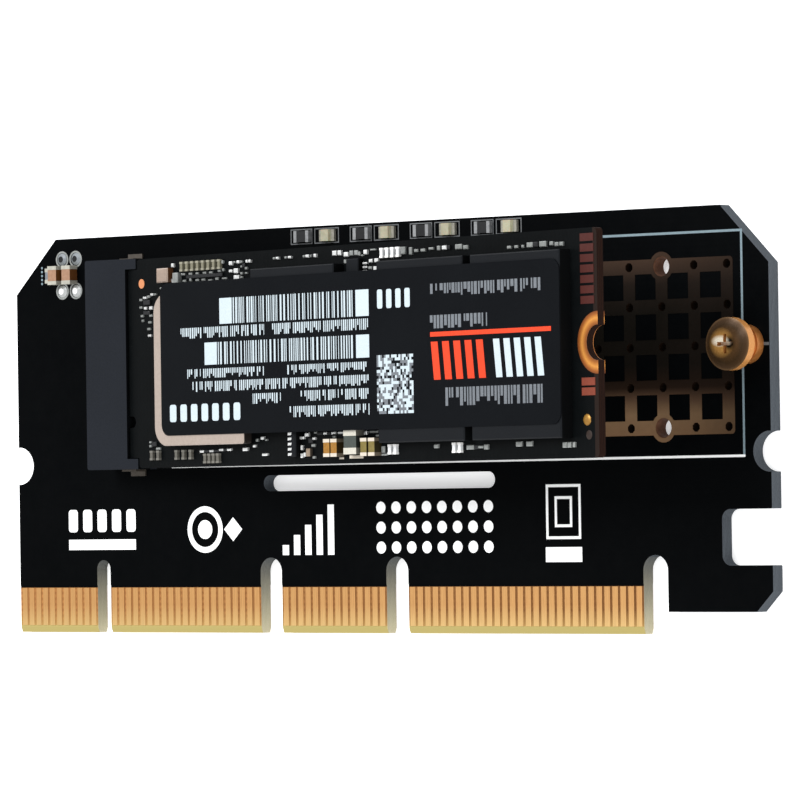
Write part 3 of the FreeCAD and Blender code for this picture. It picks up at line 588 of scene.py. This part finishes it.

# the third shade of each of these finishes is painted shade on its sides
socketPlastic = walledFinish("socketPlastic", ("#1c1f25", "#171a1f"), "#090b0d",
                             {"Specular IOR Level": 0.07}, scale=5200.0, relief=0.012, rough=(0.5, 0.62))
packageBlack = walledFinish("packageBlack", ("#131518", "#181a1d"), "#08090a",
                            {"Specular IOR Level": 0.05}, scale=5200.0, rough=(0.5, 0.65))
nickelCap = walledFinish("nickelCap", ("#a99b91", "#9b8d83"), "#241f1c", {"Metallic": 0.3}, scale=3200.0,
                         relief=0.004, rough=(0.35, 0.48))
crystalCan = walledFinish("crystalCan", ("#a08c7e", "#8b7a6e"), "#5d3b22", {"Metallic": 0.3}, scale=2400.0,
                          relief=0.004, rough=(0.3, 0.45))
blackCeramic = walledFinish("blackCeramic", ("#17181a", "#222325"), "#0d0d0e", {"Specular IOR Level": 0.2})
tanCeramic = walledFinish("tanCeramic", ("#9c7a64", "#86654e"), "#5a3619", {"Specular IOR Level": 0.2})
sandCeramic = walledFinish("sandCeramic", ("#8f7f6d", "#74665a"), "#3f3830", {"Specular IOR Level": 0.2})
greyCeramic = walledFinish("greyCeramic", ("#7d8288", "#5f646a"), "#2d3033", {"Specular IOR Level": 0.3})
inductorGreen = walledFinish("inductorGreen", ("#434945", "#383d3a"), "#1b1d1b", {"Specular IOR Level": 0.2})
mustardCeramic = walledFinish("mustardCeramic", ("#9f7230", "#805822"), "#2a1f0c",
                              {"Specular IOR Level": 0.15})
oliveCeramic = walledFinish("oliveCeramic", ("#7d7040", "#63572c"), "#282313", {"Specular IOR Level": 0.15})
creamEnds = walledFinish("creamEnds", ("#cfc6b8", "#bab0a2"), "#5f5649", {"Specular IOR Level": 0.3})
inductorCream = walledFinish("inductorCream", ("#c6c2b7", "#b1ada2"), "#5a574f", {"Specular IOR Level": 0.3})

nodeFinishes = {
    "adapter_board": cardMask, "front_edge_contacts": contactGold, "back_edge_contacts": contactGold,
    "drive_edge_contacts": contactGold, "drive_screw_ring": ringGoldPaintedHighlight, "cooling_mesh": shadedCopper,
    "drive_test_pads": padCopper, "fixing_hole_rings": shadedCopper, "socket_upper_springs": tinnedSteel,
    "socket_lower_springs": tinnedSteel, "socket_hold_down_tabs": dimTin,
    "socket_housing": socketPlastic, "standoff": standoffBrass, "module_screw": screwBrassPaintedLight,
    "light_resistor_bodies": blackCeramic, "drive_small_part_bodies": chipShell,
    "light_resistor_ends": resistorEnds, "indicator_light_ends": lightEnds,
    "filter_capacitor_ends": filterEnds, "filter_bead_ends": filterEnds, "solder_pads": highlitSolderDomes,
    "drive_regulator_pins": solderShine, "drive_inductor_ends": inductorCream,
    "drive_capacitor_ends": creamEnds, "drive_small_part_ends": chipEnds,
    "indicator_light_lenses": lightLens, "filter_capacitor_bodies": tanCeramic,
    "filter_bead_body": greyCeramic, "drive_inductor_body": inductorGreen, "drive_board": driveMask,
    "drive_controller": packageBlack, "drive_cache_chip": packageBlack, "drive_memory_chips": packageBlack,
    "drive_regulator": packageBlack, "drive_controller_cap": nickelCap, "drive_label": labelFilm,
    "drive_crystal": crystalCan, "drive_input_capacitors": mustardCeramic,
    "drive_output_capacitors": oliveCeramic,
}
for name, finish in nodeFinishes.items():
    for held in nodes[name].material_slots:
        held.material = finish
print("finishes placed on", len(nodeFinishes), "nodes")


# printed lines on the card

silk = {"line": 0.24, "height": (0.0, 0.018), "right": 96.9, "low": 17.38, "high": 39.5, "left": 20.6,
        "shadowedLeft": 16.4, "highFrom": 62.0, "ticks": (59.4, 77.4), "tickLength": 0.3,
        "boxes": ((38.97, 41.9), (42.2, 45.5)), "boxPitch": 8.0, "boxCount": 4,
        "boxAcross": (40.35, 41.95), "boxLine": 0.11, "dotColumn": 3.75, "dots": (37.5, 39.2),
        "dotCount": 5, "dotRadius": 0.13, "dotSides": 12, "postMark": ((99.0, 99.95), (28.25, 28.55))}


def printCardLines():
    bright, faint, dim = bmesh.new(), bmesh.new(), bmesh.new()
    line, z = silk["line"], silk["height"]
    low, aboveLow = silk["low"], silk["low"] + line
    addBlock(bright, (silk["left"], silk["right"]), (low, aboveLow), z)
    # the stretch left of the bright line is printed faint as a painted shadow
    addBlock(faint, (silk["shadowedLeft"], silk["left"]), (low, aboveLow), z)
    for x in silk["ticks"]:
        addBlock(bright, (x, x + line), (aboveLow, aboveLow + silk["tickLength"]), z)
    addBlock(faint, (silk["highFrom"], silk["right"]), (silk["high"], silk["high"] + line), z)
    addBlock(faint, (silk["right"] - line, silk["right"]), (aboveLow, silk["high"]), z)
    for i in range(silk["boxCount"]):
        shift = silk["boxPitch"] * i
        for left, right in silk["boxes"]:
            addFrame(dim, (left + shift, right + shift), silk["boxAcross"], z, silk["boxLine"])
    addBlock(dim, *silk["postMark"], z)
    for y in evenly(*silk["dots"], silk["dotCount"]):
        addDisc(faint, silk["dotColumn"], y, z, silk["dotRadius"], silk["dotSides"])
    newPiece("card_printed_lines", bright, cardPlace, whiteInk)
    newPiece("card_printed_faint_lines", faint, cardPlace, faintInk)
    newPiece("card_printed_boxes", dim, cardPlace, dimInk)


# plain signs where a card carries its marks: blocks, dots and bars, none of them a letter
signs = {"height": (0.0, 0.02), "bar": ((7.2, 16.8), (8.8, 9.9)),
         "blocks": {"x": (7.2, 16.8), "y": (10.7, 13.1), "count": 5, "width": 1.3, "round": 0.35, "steps": 3},
         "ring": {"spot": (26.6, 10.85), "outer": 2.45, "inner": 1.85, "sides": 40, "dot": 1.0},
         "kite": {"spot": (30.5, 10.85), "reach": 1.25, "sides": 4},
         "stairs": {"x": (37.3, 44.3), "y": (8.1, 13.3), "count": 5, "width": 0.85},
         "dots": {"x": (50.6, 64.7), "y": (8.8, 12.9), "rows": 3, "count": 8, "radius": 0.62},
         "tallBar": ((72.0, 76.6), (7.2, 8.7)), "tallLine": 0.28,
         "tallFrames": (((72.1, 76.5), (9.5, 15.0)), ((73.2, 75.4), (10.7, 13.8)))}


def printCardSigns():
    shape = bmesh.new()
    z = signs["height"]
    addBlock(shape, *signs["bar"], z)
    addTiles(shape, signs["blocks"], z)
    ring, kite, stairs, dots = signs["ring"], signs["kite"], signs["stairs"], signs["dots"]
    addRing(shape, *ring["spot"], z, ring["outer"], ring["inner"], ring["sides"])
    addDisc(shape, *ring["spot"], z, ring["dot"])
    addDisc(shape, *kite["spot"], z, kite["reach"], kite["sides"])
    (left, right), (low, high), count = stairs["x"], stairs["y"], stairs["count"]
    for i, at in enumerate(evenly(left, right - stairs["width"], count)):
        addBlock(shape, (at, at + stairs["width"]), (low, low + (high - low) * (i + 1) / count), z)
    for x in evenly(*dots["x"], dots["count"]):
        for y in evenly(*dots["y"], dots["rows"]):
            addDisc(shape, x, y, z, dots["radius"])
    addBlock(shape, *signs["tallBar"], z)
    for x, y in signs["tallFrames"]:
        addFrame(shape, x, y, z, signs["tallLine"])
    newPiece("card_printed_signs", shape, cardPlace, whiteInk)


# tinned rings round the four solder pads
padRing = {"outer": 0.9, "inner": 0.72, "inset": 0.68, "height": (0.0, 0.03), "sides": 28}


def ringPads():
    shape = bmesh.new()
    low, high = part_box("solder_pads")
    inset = padRing["inset"] * mm
    for x in (low.x + inset, high.x - inset):
        for y in (low.y + inset, high.y - inset):
            addRing(shape, *onCard(x, y), padRing["height"], padRing["outer"], padRing["inner"],
                    padRing["sides"])
    newPiece("solder_pad_rims", shape, cardPlace, solderGrey)


# copper sleeves that line the two fixing holes
sleeve = {"outer": 0.99, "inner": 0.94, "inset": 1.45, "sides": 40}


def lineFixingHoles():
    shape = bmesh.new()
    low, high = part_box("fixing_hole_rings")
    inset, depth = sleeve["inset"] * mm, (cardLow.z - faceHeight) / mm
    for y in (low.y + inset, high.y - inset):
        addRing(shape, *onCard((low.x + high.x) / 2, y), (depth, 0.0), sleeve["outer"], sleeve["inner"],
                sleeve["sides"])
    newPiece("fixing_hole_sleeves", shape, cardPlace, holeCopper)


printCardLines()
printCardSigns()
ringPads()
lineFixingHoles()
print("card printed and its holes lined")


# the drive's label: bars, rows of short marks, plain tiles, a square patch and an orange line
label = {"height": (2.3, 2.318), "seed": 7, "endBar": 2.15, "firstGap": 0.2, "lastGap": 0.5,
         "strips": ((20.8, 46.1, 3.65, 6.3), (18.1, 46.1, -0.5, 1.8)),
         "barWidths": (0.1, 0.14, 0.2, 0.28), "barGaps": (0.17, 0.24, 0.32, 0.44),
         "rows": ((13.9, 28.5, 2.3, 1.1), (29.9, 46.0, 2.3, 1.1), (15.0, 28.4, -1.85, 0.95),
                  (32.4, 46.0, -1.85, 0.95), (15.9, 46.0, -3.25, 1.05), (26.4, 31.2, -4.7, 1.05),
                  (34.6, 46.0, -4.6, 1.05), (32.7, 46.0, -6.2, 1.1)), "rowMarks": (0.1, 0.24),
         "greyRows": ((56.1, 73.3, 5.2, 1.25), (56.0, 65.0, 2.05, 1.3), (58.3, 73.4, -5.6, 1.8)),
         "greyMarks": (0.2, 0.5), "markHeights": (1, 1, 0.8, 0.55), "markGaps": (0.13, 0.2),
         "nearShare": 0.85, "wideGap": 0.45,
         "bold": {"x": (11.8, 24.2), "y": (-6.3, -4.5), "count": 7, "width": 1.15, "round": 0.25, "steps": 2},
         "size": {"x": (47.5, 52.8), "y": (4.3, 6.2), "count": 4, "width": 0.85, "round": 0.2, "steps": 2},
         "patch": (47.3, 53.2, -6.18, -0.33), "cells": 20, "whiteUpTo": 0.45, "greyUpTo": 0.8,
         "line": ((56.0, 74.8), (1.25, 1.7)),
         "stripes": ((56.3, 65.2), (66.1, 74.1)), "stripeAcross": (-3.0, 0.75), "stripeCount": 5,
         "stripeShare": 0.6, "stripeSlant": -0.12}


def addBars(shape, strip, z, draw):    # bars of mixed widths between two wide ones
    left, right, low, high = strip
    end = label["endBar"]
    addBlock(shape, (left, left + end), (low, high), z)
    addBlock(shape, (right - end, right), (low, high), z)
    at = left + end + label["firstGap"]
    while at < right - end - label["lastGap"]:
        width = draw.choice(label["barWidths"])
        addBlock(shape, (at, at + width), (low, high), z)
        at += width + draw.choice(label["barGaps"])


def addMarks(shape, row, widths, z, draw):    # a row of short marks, some of them lower
    at, end, low, height = row
    while at < end:
        width = min(draw.uniform(*widths), end - at)
        tall = height * draw.choice(label["markHeights"])
        addBlock(shape, (at, at + width), (low + height - tall, low + height), z)
        near = draw.random() < label["nearShare"]
        at += width + (draw.uniform(*label["markGaps"]) if near else label["wideGap"])


def addPatch(white, grey, z, draw):    # a square of small cells in two tones
    left, right, low, high = label["patch"]
    cells = label["cells"]
    across, up = (right - left) / cells, (high - low) / cells
    for i in range(cells):
        for j in range(cells):
            tone = draw.random()
            x, y = left + across * i, low + up * j
            if tone < label["greyUpTo"]:
                addBlock(white if tone < label["whiteUpTo"] else grey, (x, x + across), (y, y + up), z)


def addStripes(shape, x, z):    # slanted stripes
    left, right = x
    pitch = (right - left) / label["stripeCount"]
    for i in range(label["stripeCount"]):
        at = left + pitch * i
        addBlock(shape, (at, at + pitch * label["stripeShare"]), label["stripeAcross"], z,
                 label["stripeSlant"])


def printLabel():
    draw = random.Random(label["seed"])
    white, grey, orange = bmesh.new(), bmesh.new(), bmesh.new()
    z = label["height"]
    for strip in label["strips"]:
        addBars(white, strip, z, draw)
    for row in label["rows"]:
        addMarks(white, row, label["rowMarks"], z, draw)
    addTiles(white, label["bold"], z)
    addTiles(white, label["size"], z)
    addPatch(white, grey, z, draw)
    for row in label["greyRows"]:
        addMarks(grey, row, label["greyMarks"], z, draw)
    addBlock(orange, *label["line"], z)
    for shape, x in zip((orange, white), label["stripes"]):
        addStripes(shape, x, z)
    newPiece("label_white_print", white, drivePlace, paperWhite)
    newPiece("label_grey_print", grey, drivePlace, greyInk)
    newPiece("label_orange_print", orange, drivePlace, orangeInk)


printLabel()
print("label printed")


# the drive's finest parts, row by row: the place across, then along, length and width of each;
# a separate measuring script worked out these numbers, so no driving dimensions stand behind them
fine = {"height": 0.3, "lowHeight": 0.24, "bodyHeight": 0.26, "soften": 0.07,
        "bright": (
            (10.2, ((38.9, 0.7, 0.5), (39.7, 0.55, 0.5))),
            (10.1, ((10.8, 0.4, 0.4), (29.2, 0.45, 0.25), (31.3, 0.5, 0.25), (34.3, 0.55, 0.3),
                    (35.6, 0.4, 0.35), (44, 0.55, 0.45))),
            (10, ((22.4, 0.45, 0.3), (23.9, 0.3, 0.3), (24.4, 0.35, 0.3), (40.8, 0.7, 0.45),
                  (56.8, 0.7, 0.4))),
            (9.9, ((21.1, 0.55, 0.4),)),
            (9.2, ((44.9, 0.6, 0.35), (45.8, 0.6, 0.4))),
            (9.1, ((21.1, 0.55, 0.3), (22, 0.7, 0.5))),
            (9, ((43.9, 0.7, 0.2),)),
            (8.6, ((43.9, 0.7, 0.2),)),
            (8.5, ((10.8, 0.35, 0.4),)),
            (8.4, ((22.1, 0.9, 0.5), (45.6, 0.55, 0.45))),
            (8.2, ((43.9, 0.7, 0.2),)),
            (7.2, ((7, 0.45, 0.25),)),
            (6.9, ((5.7, 0.55, 0.25),)),
            (5.8, ((5.8, 0.45, 0.3), (6.8, 0.55, 0.35))),
            (2.9, ((6.5, 0.55, 0.25),)),
            (-7.9, ((36.9, 0.55, 0.25), (38.3, 0.65, 0.25), (39.6, 1.05, 0.25))),
            (-8, ((33.8, 0.6, 0.4), (43.6, 0.5, 0.4))),
            (-8.2, ((26.2, 0.5, 0.3),)),
            (-8.3, ((33, 0.7, 0.3),)),
            (-8.4, ((35, 0.45, 0.25),)),
            (-9, ((24.8, 0.4, 0.25),)),
            (-9.3, ((19, 0.7, 0.25), (20.4, 0.7, 0.25), (23.2, 0.8, 0.35), (32.9, 0.3, 0.5))),
            (-9.4, ((15.6, 0.7, 0.25), (17.3, 0.7, 0.25))),
            (-9.9, ((26.6, 0.9, 0.25),)),
            (-10, ((33.4, 0.35, 0.4),)),
            (-10.1, ((32.9, 0.35, 0.45),)),
        ),
        "grey": (
            (10.3, ((45.2, 0.9, 0.15),)),
            (10.1, ((19.6, 0.3, 0.35), (28.6, 0.45, 0.25), (30.6, 0.45, 0.25), (33.7, 0.45, 0.25),
                    (34.9, 0.2, 0.3), (41.6, 0.55, 0.5), (42.4, 0.55, 0.5))),
            (10, ((21.7, 0.3, 0.2), (22.9, 0.3, 0.2), (42.9, 0.3, 0.4), (50.1, 0.7, 0.75),
                  (54.6, 0.7, 0.25), (55.8, 0.45, 0.45), (59, 1.05, 0.5))),
            (9.9, ((51.3, 0.45, 0.75), (52.2, 0.55, 0.3), (53.3, 0.7, 0.3), (60.1, 0.7, 0.4))),
            (9.8, ((43.4, 0.35, 0.15),)),
            (9.7, ((70.1, 0.9, 0.5), (72.1, 1.05, 0.55), (73.4, 0.55, 0.4))),
            (9.6, ((66.9, 0.6, 0.3), (68, 0.55, 0.3), (69, 0.35, 0.3), (74.2, 0.55, 0.4),
                    (74.9, 0.55, 0.4))),
            (9.5, ((22.9, 0.3, 0.2),)),
            (9.3, ((19.7, 0.3, 0.3), (23.7, 0.35, 0.25), (40.6, 0.45, 0.4))),
            (9.2, ((19, 0.45, 0.25),)),
            (9.1, ((12.6, 0.6, 0.25), (13.9, 0.55, 0.25), (15.1, 0.45, 0.25), (16.4, 0.55, 0.25),
                   (17.5, 0.55, 0.25))),
            (8.8, ((22.9, 0.35, 0.25), (23.7, 0.35, 0.2))),
            (8.5, ((13.9, 0.35, 0.4), (44.7, 0.55, 0.3))),
            (8.4, ((12.8, 0.55, 0.25), (15.1, 0.55, 0.25), (16.2, 0.6, 0.25), (18.6, 0.55, 0.3),
                   (19.9, 0.8, 0.2), (22.9, 0.35, 0.2))),
            (8.3, ((17.4, 0.7, 0.2),)),
            (8.1, ((46.5, 0.5, 0.3),)),
            (8, ((45.4, 0.55, 0.25),)),
            (7.9, ((9.7, 0.45, 0.2),)),
            (7.8, ((8.7, 0.6, 0.2), (43.8, 0.65, 0.15))),
            (7.2, ((7.5, 0.4, 0.2),)),
            (7, ((6.3, 0.45, 0.25),)),
            (6.7, ((4.9, 0.45, 0.25),)),
            (5.9, ((4.9, 0.45, 0.25),)),
            (5, ((5.1, 0.45, 0.25), (6.7, 0.55, 0.25))),
            (4.5, ((5.2, 0.35, 0.25),)),
            (4.3, ((6.5, 0.55, 0.25),)),
            (3.6, ((6.3, 0.55, 0.25),)),
            (-7.8, ((35.2, 0.45, 0.2),)),
            (-7.9, ((44.9, 1.35, 0.25),)),
            (-8.3, ((6.3, 0.35, 0.2), (38.3, 0.45, 0.2), (45.6, 0.7, 0.2))),
            (-8.4, ((25.2, 0.35, 0.3), (26.8, 0.3, 0.2))),
            (-8.7, ((6.3, 0.35, 0.25),)),
            (-9, ((7.7, 0.7, 0.25),)),
            (-9.1, ((34.8, 0.55, 0.3),)),
            (-9.5, ((55, 0.7, 0.4), (68, 0.9, 0.5), (69.6, 0.9, 0.5))),
            (-9.7, ((46.4, 0.5, 0.65), (60.4, 1.15, 0.45), (62, 0.9, 0.25), (62.9, 0.65, 0.5),
                    (75, 0.6, 0.55), (75.7, 0.55, 0.55), (76.4, 0.35, 0.5))),
            (-10.2, ((46.6, 0.9, 0.2),)),
            (-10.3, ((34.9, 0.4, 0.25),)),
        ),
        # dark bodies between the bright ends of a part
        "bodies": (
            (10.2, ((39.3, 0.25, 0.5),)),
            (10.1, ((28.9, 0.3, 0.3), (30.9, 0.3, 0.3), (34, 0.3, 0.3), (35.2, 0.45, 0.35))),
            (10, ((57.4, 0.5, 0.4),)),
            (9.7, ((71, 0.8, 0.5),)),
            (9.6, ((23.3, 0.5, 0.4),)),
            (9.2, ((45.3, 0.35, 0.4),)),
            (8.8, ((16.4, 6.4, 0.4), (43.9, 0.6, 0.2))),
            (8.5, ((45.2, 0.35, 0.35),)),
            (8.4, ((43.9, 0.6, 0.15),)),
            (6.4, ((6, 1.2, 0.5),)),
            (5.3, ((6, 1.2, 0.4),)),
            (-7.9, ((36, 1, 0.3), (37.6, 0.7, 0.3))),
            (-8.5, ((7, 0.9, 0.5),)),
            (-8.6, ((34.4, 0.7, 0.5),)),
            (-9.3, ((19.7, 0.6, 0.3),)),
            (-9.4, ((16.4, 0.9, 0.3), (18.1, 1, 0.3))),
            (-9.7, ((61.4, 0.7, 0.4),)),
        )}


def layBlocks(rows, height):    # each with its upper edges taken off, by a third of its width at most
    shape = bmesh.new()
    z = (driveThickness, driveThickness + height)
    for across, parts in rows:
        for along, length, width in parts:
            corners = addBlock(shape, (along - length / 2, along + length / 2),
                               (across - width / 2, across + width / 2), z)
            softenTop(shape, corners, min(fine["soften"], length / 3, width / 3))
    return shape


def placeFineParts():
    bright = layBlocks(fine["bright"], fine["height"])
    newPiece("drive_bright_joints", bright, drivePlace, solderShine)
    grey = layBlocks(fine["grey"], fine["lowHeight"])
    newPiece("drive_grey_joints", grey, drivePlace, solderGrey)
    bodies = layBlocks(fine["bodies"], fine["bodyHeight"])
    newPiece("drive_fine_part_bodies", bodies, drivePlace, blackCeramic)


# where the regulator's legs show over its edge
legs = {"along": (31.38, 31.95), "first": -9.94, "pitch": 0.52, "width": 0.26, "height": (1.6, 1.64),
        "count": 5, "slant": 0.35, "soften": 0.02}


def placeLegs():
    shape = bmesh.new()
    for i in range(legs["count"]):
        low = legs["first"] + legs["pitch"] * i - legs["width"] / 2
        leg = addBlock(shape, legs["along"], (low, low + legs["width"]), legs["height"], legs["slant"])
        softenTop(shape, leg, legs["soften"])
    newPiece("drive_regulator_leg_tops", shape, drivePlace, solderShine)


# parts of middle size that only the scene holds: low and high along and across, top, finish and slot
middling = {
    "drive_load_switch": ((41.3, 43.3), (7.72, 9.5), 1.45, packageBlack, "package_black"),
    "drive_corner_inductor": ((11.15, 12.1), (8.2, 9.3), 1.35, solderGrey, "solder"),
    "drive_tan_part": ((33.8, 34.45), (-10.2, -9.4), 1.2, sandCeramic, "tan_ceramic"),
    "drive_cream_pad": ((40.7, 43.0), (-10.52, -10.2), 0.88, creamEnds, "solder"),
    "drive_cream_pad_left": ((39.0, 39.75), (-10.56, -10.36), 0.88, creamEnds, "solder"),
}
middlingSoften = 0.08    # or a third of the height where that is less


def placeMiddling():
    for name, (x, y, top, finish, slotName) in middling.items():
        shape = bmesh.new()
        corners = addBlock(shape, x, y, (driveThickness, top))
        softenTop(shape, corners, min(middlingSoften, (top - driveThickness) / 3))
        newPiece(name, shape, drivePlace, finish)


# a gold-coloured blob of solder and a flatter brown one beside the test pads
blobs = {
    "drive_gold_blob": {"spot": (78.25, -7.35), "radius": 0.56, "rise": 0.16, "finish": goldSolder,
                        "slot": "contact_gold"},
    "drive_brown_blob": {"spot": (78.5, -8.8), "radius": 0.45, "rise": 0.16 / 3, "finish": brownVarnish,
                         "slot": "bare_copper"},
}
ballSteps = (24, 12)    # round each ball and up it


def placeBlobs():    # the upper halves of two flattened balls
    for name, blob in blobs.items():
        shape = bmesh.new()
        flattened = Vector((1, 1, blob["rise"] / blob["radius"]))
        spot = Matrix.LocRotScale(Vector((*blob["spot"], driveThickness)), None, flattened)
        made = bmesh.ops.create_uvsphere(shape, u_segments=ballSteps[0], v_segments=ballSteps[1],
                                         radius=blob["radius"], matrix=spot)["verts"]
        under = [v for v in made if v.co.z < driveThickness - tiny]
        bmesh.ops.delete(shape, geom=under, context="VERTS")
        bmesh.ops.contextual_create(shape, geom=[e for e in shape.edges if e.is_boundary])
        newPiece(name, shape, drivePlace, blob["finish"])


placeFineParts()
placeLegs()
placeMiddling()
placeBlobs()
print("fine parts placed")


# floor, light and camera

studio = {"floorSize": 3.0, "floorDrop": 0.02, "floorShades": ("#f4f5f6", "#f0f1f2"), "floorGlow": 0.45,
          "worldShade": "#ffffff", "worldStrength": 0.9}
lights = {"key": {"spot": (-0.25, 0.45, 0.9), "power": 9.0, "size": 0.5},
          "fill": {"spot": (0.7, -0.6, 0.6), "power": 5.0, "size": 0.8}}
camera = {"spot": (0.390697, -0.007793, 0.475049), "aim": (0.003340, 0.002802, 0.0016),
          "up": (0.021963, 0.999749, 0.004404), "lens": 268.66, "sensor": 36.0}


def facing(spot, aim, up):    # at the spot, looking at the aim
    back = (Vector(spot) - Vector(aim)).normalized()
    right = Vector(up).cross(back).normalized()
    turned = Matrix((right, back.cross(right), back)).transposed()
    return Matrix.Translation(spot) @ turned.to_4x4()


def setFloor():    # just below the lowest part of the card
    shape = bmesh.new()
    bmesh.ops.create_grid(shape, x_segments=1, y_segments=1, size=studio["floorSize"] / 2)
    paper = {"Specular IOR Level": 0.1, "Emission Color": (1, 1, 1, 1),
             "Emission Strength": studio["floorGlow"]}
    finish = grainyFinish("floorPaper", studio["floorShades"], paper, scale=300.0, cloud=0.5, relief=0.0,
                          rough=(0.9, 1.0))
    floor = addObject("floor", meshOf("floor", shape, finish))
    floor.location.z = cadBox[0].z - studio["floorDrop"] * mm


def setLights():
    world = bpy.data.worlds.new("studio")
    world.use_nodes = True
    backdrop = world.node_tree.nodes["Background"].inputs
    backdrop["Color"].default_value = tint(studio["worldShade"])
    backdrop["Strength"].default_value = studio["worldStrength"]
    bpy.context.scene.world = world
    for name, look in lights.items():
        lamp = bpy.data.lights.new(name, "AREA")
        lamp.energy, lamp.size = look["power"], look["size"]
        addObject(name, lamp).matrix_world = facing(look["spot"], (0, 0, 0), (0, 1, 0))


def setCamera():
    bpy.context.scene.view_settings.view_transform = "Standard"
    view = bpy.data.cameras.new("view")
    view.lens, view.sensor_width = camera["lens"], camera["sensor"]
    held = addObject("view", view)
    held.matrix_world = facing(camera["spot"], camera["aim"], camera["up"])
    bpy.context.scene.camera = held


setFloor()
setLights()
setCamera()
print("studio set")
